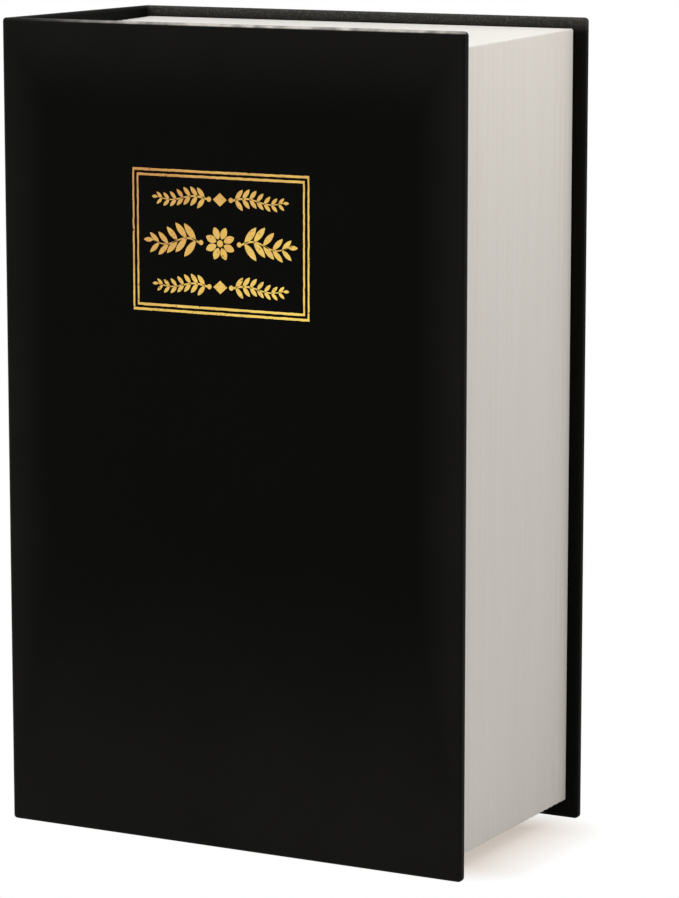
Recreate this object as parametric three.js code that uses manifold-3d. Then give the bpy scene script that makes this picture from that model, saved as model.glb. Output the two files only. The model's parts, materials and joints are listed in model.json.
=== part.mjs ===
// Book diversion safe: a hardback book whose pages are a white plastic frame round a small steel box.
// The front cover turns on its leatherette joint, the steel lid behind it turns on a pin hinge,
// and a cam lock holds the lid.
//
// Millimetres, +Z up. The book stands on its tail edge with the origin at the middle of its base.
// The spine is on the left (-X), the fore-edge on the right (+X) and the front cover at the front (-Y).

import * as THREE from 'three';
import { mergeVertices } from 'three/addons/utils/BufferGeometryUtils.js';
import Module from 'manifold-3d';

const wasm = await Module();
wasm.setup();

// Overall size of the closed book
const bookHeight = 180;
const bookWidth = 113;
const bookThickness = 61.5;

// Cover case: boards wrapped in leatherette, lined with paper
const leatherThickness = 0.35;
const boardThickness = 1.6;
const endpaperThickness = 0.2;
const turnInWidth = 12;
const endpaperMargin = 4;
const foreSquare = 2.8;
const headSquare = 2.4;
const tailSquare = 4.2;
const coverCornerRadius = 0.9;
const coverEdgeRadius = 0.6;

// Leatherette joint between the front cover and the spine
const jointRun = 3;
const jointCornerRadius = 1.2;
const endpaperToBoardEdge = 1;
const coverToPages = 0.3;

// Gold double rule on the front cover, pressed into the leatherette
const titleWidth = 43.6;
const titleHeight = 30.9;
const titleMiddleX = -1.6;
const titleTopDrop = 31.2;
const outerRuleWidth = 0.56;
const innerRuleWidth = 0.5;
const ruleSpacing = 1.12;
const foilThickness = 0.08;
const foilSunk = 0.04;

// White plastic page frame, whose head slopes down to the front
const pageRim = 2.6;
const headSlope = 1.2;
const rearFlangeWidth = 9;
const rearFlangeThickness = 2.4;
const pageLand = 2;
const pageRibPitch = 2.5;
const pageRibDepth = 0.15;
const pageRibSteps = 4;

// Steel box and its mouth
const boxToFrame = 0.3;
const boxSheet = 0.8;
const flangeWidth = 6;
const hingeFlangeWidth = 10;

// Steel lid with its raised panel
const lidToFrame = 0.6;
const lidSheet = 0.8;
const panelRise = 0.6;
const lidBorder = 6.2;
const lidCornerRadius = 1.5;
const runningGap = 0.3;

// Pin hinge of the lid
const knuckleRadius = 1.5;
const knuckleBoreRadius = 0.95;
const pinRadius = 0.8;
const knuckleCount = 9;
const hingeEndInset = 8.6;
const hingeSheet = 0.6;
const hingeLeafWidth = 5;
const lidLeafWidth = 4.2;
const leafToKnuckle = 0.35;

// Cam lock
const lockInset = 15.4;
const bezelRadius = 8;
const bezelFaceRadius = 5.75;
const bezelHeight = 2;
const bezelLip = 0.35;
const bezelToCover = 0.5;
const barrelRadius = 6;
const barrelFlat = 5;
const barrelLength = 16;
const barrelToHole = 0.15;
const plugHeadRadius = 4.9;
const plugHeadLength = 1.4;
const plugSunk = 0.2;
const plugRadius = 4.4;
const plugGap = 0.15;
const plugStandOut = 0.3;
const keywayWidth = 6.7;
const keywayHeight = 1.3;
const keywayDepth = 12;
const keywayRoundRadius = 1.7;
const keywayRoundDepth = 1.5;
const tangWidth = 6;
const tangShort = 0.2;

// Wafers in the lock plug
const waferCount = 4;
const waferThickness = 0.5;
const waferLength = 7.2;
const waferHeight = 4.2;
const waferWindowWidth = 5.8;
const waferWindowHeight = 1.7;
const waferPitch = 2.2;
const firstWaferDepth = 3.4;
const waferGap = 0.15;

// Washer and nut behind the lid
const washerRadius = 8;
const washerThickness = 0.8;
const nutAcrossFlats = 15;
const nutThickness = 3;

// Cam, its washer and its screw
const camThickness = 1.6;
const camWidth = 10;
const camReach = 14.3;
const camHubRadius = 6;
const camWasherRadius = 5.5;
const camWasherThickness = 0.8;
const screwRadius = 1.95;
const screwLength = 6;
const screwHeadRadius = 3.5;
const screwHeadHeight = 2.2;
const screwGap = 0.15;
const crossWidth = 0.9;
const crossLength = 4;
const crossDepth = 1.2;

// Strike plate that the cam turns behind
const strikeSheet = 1;
const strikeReach = 5.2;
const strikeHalfWidth = 9;
const strikeToCam = 0.4;
const strikeToFlange = 1;

// Blind rivets that hold the box to the page frame
const rivetInset = 5;
const rivetHeadRadius = 3;
const rivetHeadHeight = 1.1;
const rivetShankRadius = 1.6;
const rivetTailRadius = 2.2;
const rivetHoleGap = 0.15;
const rivetTailGap = 0.4;
const counterboreDepth = 1.3;
const rivetTailShort = 0.2;

// How finely round shapes are cut
const cornerSteps = 4;
const roundSteps = 32;
const lockSteps = 48;
const knuckleSteps = 16;

// Levels from front to back
const frontFace = -bookThickness / 2;
const backFace = bookThickness / 2;
const wrapThickness = 2 * leatherThickness + boardThickness;
const coverThickness = wrapThickness + endpaperThickness;
const coverInside = frontFace + coverThickness;
const pageFront = coverInside + coverToPages;
const pageBack = backFace - coverThickness;
const bezelFront = coverInside + bezelToCover;
const panelFront = bezelFront + bezelHeight;
const borderFront = panelFront + panelRise;
const borderBack = borderFront + lidSheet;
const leafFront = borderBack + runningGap;
const flangeFront = leafFront + hingeSheet;
const flangeBack = flangeFront + boxSheet;
const boxBack = pageBack - rearFlangeThickness;
const boxFloor = boxBack - boxSheet;

// Levels from spine to fore-edge
const spineFace = -bookWidth / 2;
const foreFace = bookWidth / 2;
const pivotX = spineFace + leatherThickness;
const pivotY = frontFace + leatherThickness;
const frontBoardLeft = spineFace + jointCornerRadius;
const jointEndX = spineFace + jointRun;
const jointEndY = frontFace + jointRun;
const pageLeft = spineFace + wrapThickness;
const pageRight = foreFace - foreSquare;
const frameLeft = pageLeft + pageRim;
const frameRight = pageRight - pageRim;
const boxLeft = frameLeft + boxToFrame;
const boxRight = frameRight - boxToFrame;
const pinX = frameLeft + lidToFrame + knuckleRadius;
const pinY = flangeFront - runningGap - knuckleRadius;
const lidLeft = pinX + knuckleRadius + leafToKnuckle;
const lidRight = frameRight - lidToFrame;

// Levels from tail to head
const pageBottom = tailSquare;
const pageTop = bookHeight - headSquare;
const frameBottom = pageBottom + pageRim;
const frameTop = pageTop - headSlope - pageRim;
const boxBottom = frameBottom + boxToFrame;
const boxTop = frameTop - boxToFrame;
const lidBottom = frameBottom + lidToFrame;
const lidTop = frameTop - lidToFrame;
const hingeBottom = lidBottom + hingeEndInset;
const hingeTop = lidTop - hingeEndInset;

// Lock axis, and the levels along it
const lockX = lidRight - lockInset;
const lockZ = bookHeight / 2;
const barrelEnd = panelFront + barrelLength;
const plugFront = bezelFront + plugSunk;
const plugEnd = barrelEnd + plugStandOut;
const camBack = plugEnd + camThickness;
const camWasherBack = camBack + camWasherThickness;

// Materials
const finish = {
  leatherette: { color: 0x121211, roughness: 0.42, metalness: 0 },
  greyBoard: { color: 0x8c8579, roughness: 0.95, metalness: 0 },
  paper: { color: 0xefece4, roughness: 0.9, metalness: 0 },
  goldFoil: { color: 0xd9a441, roughness: 0.35, metalness: 1 },
  pagePlastic: { color: 0xe9e6e0, roughness: 0.6, metalness: 0 },
  paintedSteel: { color: 0x3a4644, roughness: 0.55, metalness: 0.1 },
  zincSteel: { color: 0xb9bcbd, roughness: 0.35, metalness: 1 },
  chrome: { color: 0xd8d8d6, roughness: 0.12, metalness: 1 },
  satinNickel: { color: 0xa9a9a6, roughness: 0.38, metalness: 1 },
  brass: { color: 0xc8a24a, roughness: 0.35, metalness: 1 },
  aluminium: { color: 0xc4c6c8, roughness: 0.45, metalness: 1 },
};

const safe = new THREE.Group();

// Adds one sub-part to the safe under its own name.
function addPart(name, solid, look) {
  const mesh = new THREE.Mesh(toGeometry(solid), new THREE.MeshStandardMaterial(look));
  mesh.name = name;
  safe.add(mesh);
}

// Turns a closed geometry into a solid that can be joined and cut.
function toSolid(geometry) {
  const bare = geometry.index ? geometry.toNonIndexed() : geometry.clone();
  bare.deleteAttribute('normal');
  bare.deleteAttribute('uv');
  const merged = mergeVertices(bare, 1e-5);
  const index = Array.from(merged.index.array);
  const triangles = [];
  for (let i = 0; i < index.length; i += 3) {
    const [a, b, c] = index.slice(i, i + 3);
    if (a !== b && b !== c && c !== a) {
      triangles.push(a, b, c);
    }
  }
  return new wasm.Manifold(new wasm.Mesh({
    numProp: 3,
    vertProperties: new Float32Array(merged.attributes.position.array),
    triVerts: new Uint32Array(triangles),
  }));
}

// Turns a solid back into a geometry.
function toGeometry(solid) {
  const mesh = solid.getMesh();
  const geometry = new THREE.BufferGeometry();
  geometry.setAttribute('position', new THREE.BufferAttribute(mesh.vertProperties, 3));
  geometry.setIndex(new THREE.BufferAttribute(mesh.triVerts, 1));
  geometry.computeVertexNormals();
  return geometry;
}

// A block between two values on each axis, with its faces exactly on those values.
function block([left, right], [front, back], [bottom, top]) {
  const geometry = new THREE.BoxGeometry(1, 1, 1);
  const position = geometry.attributes.position;
  for (let i = 0; i < position.count; i += 1) {
    position.setXYZ(
      i,
      position.getX(i) > 0 ? right : left,
      position.getY(i) > 0 ? back : front,
      position.getZ(i) > 0 ? top : bottom,
    );
  }
  return toSolid(geometry);
}

// The points of an upright rectangle whose corners may be rounded, from the lower left one round.
function outline([left, right], [bottom, top], radii) {
  const [lowerLeft, lowerRight, upperRight, upperLeft] = radii;
  const corners = [
    { x: left, z: bottom, r: lowerLeft, inX: 1, inZ: 1, start: Math.PI },
    { x: right, z: bottom, r: lowerRight, inX: -1, inZ: 1, start: 1.5 * Math.PI },
    { x: right, z: top, r: upperRight, inX: -1, inZ: -1, start: 0 },
    { x: left, z: top, r: upperLeft, inX: 1, inZ: -1, start: 0.5 * Math.PI },
  ];
  const points = [];
  for (const { x, z, r, inX, inZ, start } of corners) {
    if (r <= 0) {
      points.push(new THREE.Vector2(x, z));
      continue;
    }
    const middleX = x + inX * r;
    const middleZ = z + inZ * r;
    for (let i = 0; i <= cornerSteps; i += 1) {
      const angle = start + (Math.PI / 2) * (i / cornerSteps);
      const pointX = middleX + r * Math.cos(angle);
      const pointZ = middleZ + r * Math.sin(angle);
      const onSide = i === 0 || i === cornerSteps;
      points.push(new THREE.Vector2(
        onSide ? nearer(pointX, x, middleX) : pointX,
        onSide ? nearer(pointZ, z, middleZ) : pointZ,
      ));
    }
  }
  return points;
}

// The nearer of two values, so that the ends of a rounded corner lie exactly on the straight sides.
function nearer(value, first, second) {
  return Math.abs(value - first) < Math.abs(value - second) ? first : second;
}

// A plate with an upright outline in X and Z, between two levels from front to back.
// With a rounding, the edge at its front is rounded by that radius.
function plate(points, front, back, rounding = 0) {
  const shape = new THREE.Shape(points);
  const depth = back - front;
  const geometry = new THREE.ExtrudeGeometry(shape, {
    depth,
    bevelEnabled: rounding > 0,
    bevelThickness: rounding,
    bevelSize: rounding,
    bevelOffset: -rounding,
    bevelSegments: 2,
    steps: 1,
  });
  const position = geometry.attributes.position;
  const lowest = rounding > 0 ? -rounding : 0;
  for (let i = 0; i < position.count; i += 1) {
    const run = depth - position.getZ(i);
    let level = front + run + (rounding > 0 ? rounding : 0);
    if (Math.abs(position.getZ(i) - (depth - lowest)) < 1e-6) {
      level = front;
    } else if (Math.abs(position.getZ(i) - lowest) < 1e-6) {
      level = back + 2 * rounding;
    }
    position.setXYZ(i, position.getX(i), level, position.getY(i));
  }
  const solid = toSolid(geometry);
  return rounding > 0 ? solid.intersect(everythingBetween(front - 1, back)) : solid;
}

// All the space between two levels from front to back.
function everythingBetween(front, back) {
  return block([-bookWidth, bookWidth], [front, back], [-bookHeight, 2 * bookHeight]);
}

// The same plate turned round, so that its rounded edge is at the back.
function mirroredPlate(points, front, back, rounding) {
  return plate(points, -back, -front, rounding).mirror([0, 1, 0]);
}

// A solid of revolution about a line along Y, from a closed profile of [radius, level] pairs.
function turned(profile, x, z, steps) {
  const points = profile.map(([radius, level]) => new THREE.Vector2(radius, level));
  points.push(points[0].clone());
  const geometry = new THREE.LatheGeometry(points, steps);
  geometry.translate(x, 0, z);
  const solid = toSolid(geometry);
  return solid.volume() < 0 ? toSolid(flipped(geometry)) : solid;
}

// A geometry with each triangle turned over.
function flipped(geometry) {
  const turnedOver = geometry.clone();
  const index = turnedOver.index.array;
  for (let i = 0; i < index.length; i += 3) {
    [index[i], index[i + 1]] = [index[i + 1], index[i]];
  }
  return turnedOver;
}

// A round rod along Y.
function rodAlongY(radius, front, back, x, z, steps) {
  const geometry = new THREE.CylinderGeometry(radius, radius, back - front, steps);
  geometry.translate(x, (front + back) / 2, z);
  return toSolid(geometry);
}

// A round rod along Z.
function rodAlongZ(radius, bottom, top, x, y, steps) {
  const geometry = new THREE.CylinderGeometry(radius, radius, top - bottom, steps);
  geometry.rotateX(Math.PI / 2);
  geometry.translate(x, y, (bottom + top) / 2);
  return toSolid(geometry);
}

// A board with the corners at the fore-edge rounded to suit the leatherette round it.
function boardOutline(left) {
  const radius = coverCornerRadius - leatherThickness;
  return outline(
    [left, foreFace - leatherThickness],
    [leatherThickness, bookHeight - leatherThickness],
    [0, radius, radius, 0],
  );
}

function coverOutline(left) {
  return outline([left, foreFace], [0, bookHeight], [0, coverCornerRadius, coverCornerRadius, 0]);
}

// The gold rules: two rectangular rings, one inside the other.
function titleRing(inset, width, front, back) {
  const left = titleMiddleX - titleWidth / 2 + inset;
  const right = titleMiddleX + titleWidth / 2 - inset;
  const top = bookHeight - titleTopDrop - inset;
  const bottom = bookHeight - titleTopDrop - titleHeight + inset;
  const outside = block([left, right], [front, back], [bottom, top]);
  const inside = block(
    [left + width, right - width],
    [front - 1, back + 1],
    [bottom + width, top - width],
  );
  return outside.subtract(inside);
}

const foilFront = frontFace + foilSunk;
const foilBack = foilFront + foilThickness;

// Front cover
const frontBoard = plate(
  boardOutline(frontBoardLeft),
  frontFace + leatherThickness,
  frontFace + leatherThickness + boardThickness,
);

function makeFrontCoverLeatherette() {
  const turnInFront = frontFace + leatherThickness + boardThickness;
  const skin = plate(coverOutline(spineFace), frontFace, frontFace + wrapThickness, coverEdgeRadius);
  const joint = block([spineFace - 1, jointEndX], [frontFace - 1, backFace], [-1, bookHeight + 1]);
  const window = block(
    [jointEndX - 1, foreFace - turnInWidth],
    [turnInFront, frontFace + wrapThickness + 1],
    [turnInWidth, bookHeight - turnInWidth],
  );
  return skin
    .subtract(joint)
    .subtract(frontBoard)
    .subtract(window)
    .subtract(titleRing(0, outerRuleWidth, frontFace - 1, foilBack))
    .subtract(titleRing(ruleSpacing, innerRuleWidth, frontFace - 1, foilBack));
}

// The paper that lines a cover: over the turn-ins, and down to the board between them.
function makeEndpaper(left, right) {
  const overBoard = frontFace + leatherThickness + boardThickness;
  const overTurnIn = frontFace + wrapThickness;
  const sheet = block(
    [left, right],
    [overTurnIn, coverInside],
    [endpaperMargin, bookHeight - endpaperMargin],
  );
  const filling = block(
    [left, foreFace - turnInWidth],
    [overBoard, overTurnIn],
    [turnInWidth, bookHeight - turnInWidth],
  );
  return sheet.add(filling);
}

addPart('front_cover_leatherette', makeFrontCoverLeatherette(), finish.leatherette);
addPart('front_cover_board', frontBoard, finish.greyBoard);
addPart(
  'front_endpaper',
  makeEndpaper(frontBoardLeft + endpaperToBoardEdge, foreFace - endpaperMargin),
  finish.paper,
);
addPart('title_border_outer', titleRing(0, outerRuleWidth, foilFront, foilBack), finish.goldFoil);
addPart('title_border_inner', titleRing(ruleSpacing, innerRuleWidth, foilFront, foilBack), finish.goldFoil);

// A column whose front left edge is rounded.
function roundedColumn([left, right], [front, back], [bottom, top], radius) {
  const shape = new THREE.Shape();
  shape.moveTo(left, back);
  shape.lineTo(left, front + radius);
  for (let i = 1; i < cornerSteps; i += 1) {
    const angle = Math.PI + (Math.PI / 2) * (i / cornerSteps);
    shape.lineTo(left + radius + radius * Math.cos(angle), front + radius + radius * Math.sin(angle));
  }
  shape.lineTo(left + radius, front);
  shape.lineTo(right, front);
  shape.lineTo(right, back);
  const geometry = new THREE.ExtrudeGeometry(shape, { depth: 1, bevelEnabled: false });
  const position = geometry.attributes.position;
  for (let i = 0; i < position.count; i += 1) {
    position.setZ(i, position.getZ(i) > 0.5 ? top : bottom);
  }
  return toSolid(geometry);
}

// Joint: the leatherette that bends between the front cover and the spine, folded over at head and tail
function makeFrontJoint() {
  const outside = roundedColumn(
    [spineFace, jointEndX],
    [frontFace, jointEndY],
    [0, bookHeight],
    jointCornerRadius,
  );
  const inside = roundedColumn(
    [pivotX, jointEndX + 1],
    [pivotY, jointEndY + 1],
    [leatherThickness, bookHeight - leatherThickness],
    jointCornerRadius - leatherThickness,
  );
  const corner = block(
    [pageLeft, jointEndX + 1],
    [frontFace + wrapThickness, jointEndY + 1],
    [-1, bookHeight + 1],
  );
  return outside.subtract(inside).subtract(corner);
}

addPart('front_joint_leatherette', makeFrontJoint(), finish.leatherette);

// Spine
const spineBoard = block(
  [pivotX, pivotX + boardThickness],
  [jointEndY, backFace - leatherThickness - boardThickness],
  [leatherThickness, bookHeight - leatherThickness],
);

function makeSpineLeatherette() {
  const skin = plate(
    outline([spineFace, pageLeft], [0, bookHeight], [coverEdgeRadius, 0, 0, coverEdgeRadius]),
    jointEndY,
    backFace - wrapThickness,
  );
  const window = block(
    [pivotX + boardThickness, pageLeft + 1],
    [jointEndY - 1, backFace],
    [turnInWidth, bookHeight - turnInWidth],
  );
  return skin.subtract(spineBoard).subtract(window);
}

addPart('spine_leatherette', makeSpineLeatherette(), finish.leatherette);
addPart('spine_board', spineBoard, finish.greyBoard);

// Back cover
const backBoard = plate(
  boardOutline(pivotX),
  backFace - leatherThickness - boardThickness,
  backFace - leatherThickness,
);

function makeBackCoverLeatherette() {
  const skin = mirroredPlate(coverOutline(spineFace), backFace - wrapThickness, backFace, coverEdgeRadius);
  const window = block(
    [pivotX, foreFace - turnInWidth],
    [backFace - wrapThickness - 1, backFace - leatherThickness - boardThickness],
    [turnInWidth, bookHeight - turnInWidth],
  );
  return skin.subtract(backBoard).subtract(spineBoard).subtract(window);
}

function makeBackEndpaper() {
  const left = pageLeft;
  const overBoard = backFace - leatherThickness - boardThickness;
  const overTurnIn = backFace - wrapThickness;
  const sheet = block(
    [left, pageRight - endpaperMargin],
    [pageBack, overTurnIn],
    [pageBottom + endpaperMargin, pageTop - endpaperMargin],
  );
  const filling = block(
    [left, foreFace - turnInWidth],
    [overTurnIn, overBoard],
    [turnInWidth, bookHeight - turnInWidth],
  );
  return sheet.add(filling);
}

addPart('back_cover_leatherette', makeBackCoverLeatherette(), finish.leatherette);
addPart('back_cover_board', backBoard, finish.greyBoard);
addPart('back_endpaper', makeBackEndpaper(), finish.paper);

// Points along a ribbed side, from one end to the other, as [along, height] pairs, with a plain land
// at each end. The crests are at height 0 and the hollows between pages at minus the rib depth.
function ribbedSide(from, to) {
  const ribbed = to - from - 2 * pageLand;
  const ribs = Math.max(1, Math.round(ribbed / pageRibPitch));
  const steps = ribs * pageRibSteps;
  const points = [[from, 0]];
  for (let i = 0; i <= steps; i += 1) {
    const turn = (2 * Math.PI * i) / pageRibSteps;
    points.push([from + pageLand + (ribbed * i) / steps, -pageRibDepth * 0.5 * (1 - Math.cos(turn))]);
  }
  points.push([to, 0]);
  return points;
}

const rivetPlaces = [
  { x: boxLeft + rivetInset, z: boxBottom + rivetInset },
  { x: boxRight - rivetInset, z: boxBottom + rivetInset },
  { x: boxLeft + rivetInset, z: boxTop - rivetInset },
  { x: boxRight - rivetInset, z: boxTop - rivetInset },
];

// Height of the head face, which falls from the back cover to the front cover.
function headLevel(along) {
  return pageTop - (headSlope * (pageBack - along)) / (pageBack - pageFront);
}

// Page frame: head, fore-edge and tail are ribbed like the edges of pages, the spine side is flat
function makePageBlock() {
  const fore = new THREE.Shape();
  const side = ribbedSide(pageFront, pageBack);
  fore.moveTo(pageLeft, pageFront);
  for (const [along, height] of side) {
    fore.lineTo(pageRight + height, along);
  }
  fore.lineTo(pageLeft, pageBack);
  const foreGeometry = new THREE.ExtrudeGeometry(fore, { depth: 1, bevelEnabled: false });
  const forePosition = foreGeometry.attributes.position;
  for (let i = 0; i < forePosition.count; i += 1) {
    forePosition.setZ(i, forePosition.getZ(i) > 0.5 ? pageTop + 1 : pageBottom - 1);
  }

  const ends = new THREE.Shape();
  side.forEach(([along, height], i) => {
    if (i === 0) {
      ends.moveTo(along, pageBottom - height);
    } else {
      ends.lineTo(along, pageBottom - height);
    }
  });
  for (const [along, height] of side.slice().reverse()) {
    ends.lineTo(along, headLevel(along) + height);
  }
  const endsGeometry = new THREE.ExtrudeGeometry(ends, { depth: 1, bevelEnabled: false });
  const endsPosition = endsGeometry.attributes.position;
  for (let i = 0; i < endsPosition.count; i += 1) {
    const x = endsPosition.getZ(i) > 0.5 ? pageRight + 1 : pageLeft;
    endsPosition.setXYZ(i, x, endsPosition.getX(i), endsPosition.getY(i));
  }

  const well = block([frameLeft, frameRight], [pageFront - 1, boxBack], [frameBottom, frameTop]);
  const rear = block(
    [frameLeft + rearFlangeWidth, frameRight - rearFlangeWidth],
    [pageFront, pageBack + 1],
    [frameBottom + rearFlangeWidth, frameTop - rearFlangeWidth],
  );
  let frame = toSolid(foreGeometry).intersect(toSolid(endsGeometry)).subtract(well).subtract(rear);
  for (const { x, z } of rivetPlaces) {
    const hole = rodAlongY(rivetShankRadius + rivetHoleGap, boxBack - 1, pageBack + 1, x, z, knuckleSteps);
    const counterbore = rodAlongY(
      rivetTailRadius + rivetTailGap,
      pageBack - counterboreDepth,
      pageBack + 1,
      x,
      z,
      knuckleSteps,
    );
    frame = frame.subtract(hole).subtract(counterbore);
  }
  return frame;
}

addPart('page_block', makePageBlock(), finish.pagePlastic);

// Steel box: a folded tray with a flange turned in round its mouth
function makeSteelBox() {
  const outside = block([boxLeft, boxRight], [flangeFront, boxBack], [boxBottom, boxTop]);
  const inside = block(
    [boxLeft + boxSheet, boxRight - boxSheet],
    [flangeBack, boxFloor],
    [boxBottom + boxSheet, boxTop - boxSheet],
  );
  const mouth = block(
    [boxLeft + hingeFlangeWidth, boxRight - flangeWidth],
    [flangeFront - 1, flangeBack + 1],
    [boxBottom + flangeWidth, boxTop - flangeWidth],
  );
  let box = outside.subtract(inside).subtract(mouth);
  for (const { x, z } of rivetPlaces) {
    const holeRadius = rivetShankRadius + rivetHoleGap;
    box = box.subtract(rodAlongY(holeRadius, boxFloor - 1, boxBack + 1, x, z, knuckleSteps));
  }
  return box;
}

addPart('steel_box', makeSteelBox(), finish.paintedSteel);

// Blind rivets, domed inside the box and set in a counterbore behind the page frame
function makeRivet({ x, z }) {
  const profile = [[0, boxFloor - rivetHeadHeight]];
  const domeSteps = 3;
  for (let i = 1; i <= domeSteps; i += 1) {
    const angle = (Math.PI / 2) * (i / domeSteps);
    profile.push([rivetHeadRadius * Math.sin(angle), boxFloor - rivetHeadHeight * Math.cos(angle)]);
  }
  profile[domeSteps] = [rivetHeadRadius, boxFloor];
  profile.push([rivetShankRadius, boxFloor]);
  profile.push([rivetShankRadius, pageBack - counterboreDepth]);
  profile.push([rivetTailRadius, pageBack - counterboreDepth]);
  profile.push([rivetTailRadius, pageBack - rivetTailShort]);
  profile.push([0, pageBack - rivetTailShort]);
  return turned(profile, x, z, knuckleSteps);
}

rivetPlaces.forEach((place, i) => {
  addPart(`box_rivet_${i + 1}`, makeRivet(place), finish.aluminium);
});

// Strike plate: an angle welded to the fore-edge wall, with its catch just in front of the cam
function makeStrikePlate() {
  const wall = boxRight - boxSheet;
  const catchBack = plugEnd - strikeToCam;
  const heights = [lockZ - strikeHalfWidth, lockZ + strikeHalfWidth];
  const wallLeg = block([wall - strikeSheet, wall], [flangeBack + strikeToFlange, catchBack], heights);
  const catchLeg = block([wall - strikeReach, wall], [catchBack - strikeSheet, catchBack], heights);
  return wallLeg.add(catchLeg);
}

addPart('strike_plate', makeStrikePlate(), finish.zincSteel);

// Hinge: nine knuckles in turn on the box's leaf and the lid's leaf, round one pin
const knucklePitch = (hingeTop - hingeBottom + runningGap) / knuckleCount;

function knuckleSpan(i) {
  const bottom = hingeBottom + i * knucklePitch;
  return [bottom, bottom + knucklePitch - runningGap];
}

function makeHingeLeaf(firstKnuckle, leaf, tabLeft, levels) {
  let solid = leaf;
  for (let i = firstKnuckle; i < knuckleCount; i += 2) {
    const [bottom, top] = knuckleSpan(i);
    solid = solid.add(rodAlongZ(knuckleRadius, bottom, top, pinX, pinY, knuckleSteps));
    solid = solid.add(block([tabLeft, lidLeft + leafToKnuckle], levels, [bottom, top]));
  }
  return solid.subtract(
    rodAlongZ(knuckleBoreRadius, hingeBottom - 1, hingeTop + 1, pinX, pinY, knuckleSteps),
  );
}

function makeBoxHingeLeaf() {
  const levels = [leafFront, flangeFront];
  const leaf = block([lidLeft, lidLeft + hingeLeafWidth], levels, [hingeBottom, hingeTop]);
  return makeHingeLeaf(0, leaf, pinX, levels);
}

function makeLidHingeLeaf() {
  const levels = [borderFront - hingeSheet, borderFront];
  const leaf = block([lidLeft, lidLeft + lidLeafWidth], levels, [hingeBottom, hingeTop]);
  return makeHingeLeaf(1, leaf, pinX, levels);
}

addPart('box_hinge_leaf', makeBoxHingeLeaf(), finish.paintedSteel);
addPart('lid_hinge_leaf', makeLidHingeLeaf(), finish.paintedSteel);
addPart(
  'hinge_pin',
  rodAlongZ(pinRadius, hingeBottom, hingeTop, pinX, pinY, knuckleSteps),
  finish.zincSteel,
);

// The barrel's outline behind the bezel: a circle with two flats, grown by a clearance
function barrelShank(grow, front, back) {
  const rod = rodAlongY(barrelRadius + grow, front, back, lockX, lockZ, lockSteps);
  const flats = block(
    [lockX - barrelRadius - 1, lockX + barrelRadius + 1],
    [front - 1, back + 1],
    [lockZ - barrelFlat - grow, lockZ + barrelFlat + grow],
  );
  return rod.intersect(flats);
}

// Lid: sheet steel with a raised panel, and a hole with two flats for the lock
function makeSteelLid() {
  const corners = [lidCornerRadius, lidCornerRadius, lidCornerRadius, lidCornerRadius];
  const sheet = plate(outline([lidLeft, lidRight], [lidBottom, lidTop], corners), borderFront, borderBack);
  const panelOutline = outline(
    [lidLeft + lidBorder, lidRight - lidBorder],
    [lidBottom + lidBorder, lidTop - lidBorder],
    corners,
  );
  const raised = raisedPanel(panelOutline, panelFront, borderBack);
  const hollow = raisedPanel(panelOutline, panelFront + lidSheet, borderBack + 1);
  return sheet
    .add(raised)
    .subtract(hollow)
    .subtract(barrelShank(barrelToHole, panelFront - 1, borderBack + 1));
}

// A block whose sides slope in over the height that the panel stands proud.
function raisedPanel(points, front, back) {
  const slope = new THREE.ExtrudeGeometry(new THREE.Shape(points), {
    depth: back - front + panelRise,
    bevelEnabled: true,
    bevelThickness: panelRise,
    bevelSize: panelRise,
    bevelOffset: -panelRise,
    bevelSegments: 1,
    steps: 1,
  });
  const position = slope.attributes.position;
  const lastLevel = back - front + 2 * panelRise;
  for (let i = 0; i < position.count; i += 1) {
    const run = lastLevel - position.getZ(i);
    const level = Math.abs(run) < 1e-5 ? front : front + run;
    position.setXYZ(i, position.getX(i), level, position.getY(i));
  }
  return toSolid(slope).intersect(everythingBetween(front - 1, back));
}

addPart('steel_lid', makeSteelLid(), finish.paintedSteel);

// Lock barrel: a conical bezel on a round body with two flats, bored for the plug
const plugHeadBack = plugFront + plugHeadLength;

function makeLockBarrel() {
  const bezel = turned(
    [
      [0, bezelFront],
      [bezelFaceRadius, bezelFront],
      [bezelRadius, panelFront - bezelLip],
      [bezelRadius, panelFront],
      [0, panelFront],
    ],
    lockX,
    lockZ,
    lockSteps,
  );
  const headBore = rodAlongY(
    plugHeadRadius + plugGap,
    bezelFront - 1,
    plugHeadBack + plugGap,
    lockX,
    lockZ,
    lockSteps,
  );
  const bore = rodAlongY(plugRadius + plugGap, bezelFront, barrelEnd + 1, lockX, lockZ, lockSteps);
  return bezel.add(barrelShank(0, panelFront - bezelLip, barrelEnd)).subtract(headBore).subtract(bore);
}

addPart('lock_barrel', makeLockBarrel(), finish.chrome);

// Washer and nut that clamp the barrel to the lid
const washerFront = panelFront + lidSheet;
const washerBack = washerFront + washerThickness;

function makeLockWasher() {
  const disc = rodAlongY(washerRadius, washerFront, washerBack, lockX, lockZ, lockSteps);
  return disc.subtract(barrelShank(barrelToHole, washerFront - 1, washerBack + 1));
}

function makeLockNut() {
  const cornerRadius = nutAcrossFlats / Math.sqrt(3);
  const hexagon = new THREE.CylinderGeometry(cornerRadius, cornerRadius, nutThickness, 6);
  hexagon.translate(lockX, washerBack + nutThickness / 2, lockZ);
  const hole = rodAlongY(
    barrelRadius + barrelToHole,
    washerBack - 1,
    washerBack + nutThickness + 1,
    lockX,
    lockZ,
    lockSteps,
  );
  return toSolid(hexagon).subtract(hole);
}

addPart('lock_washer', makeLockWasher(), finish.zincSteel);
addPart('lock_nut', makeLockNut(), finish.zincSteel);

// Plug: the part that the key turns, slotted for its wafers, with a square tang for the cam
function waferFront(i) {
  return plugFront + firstWaferDepth + i * waferPitch;
}

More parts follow.
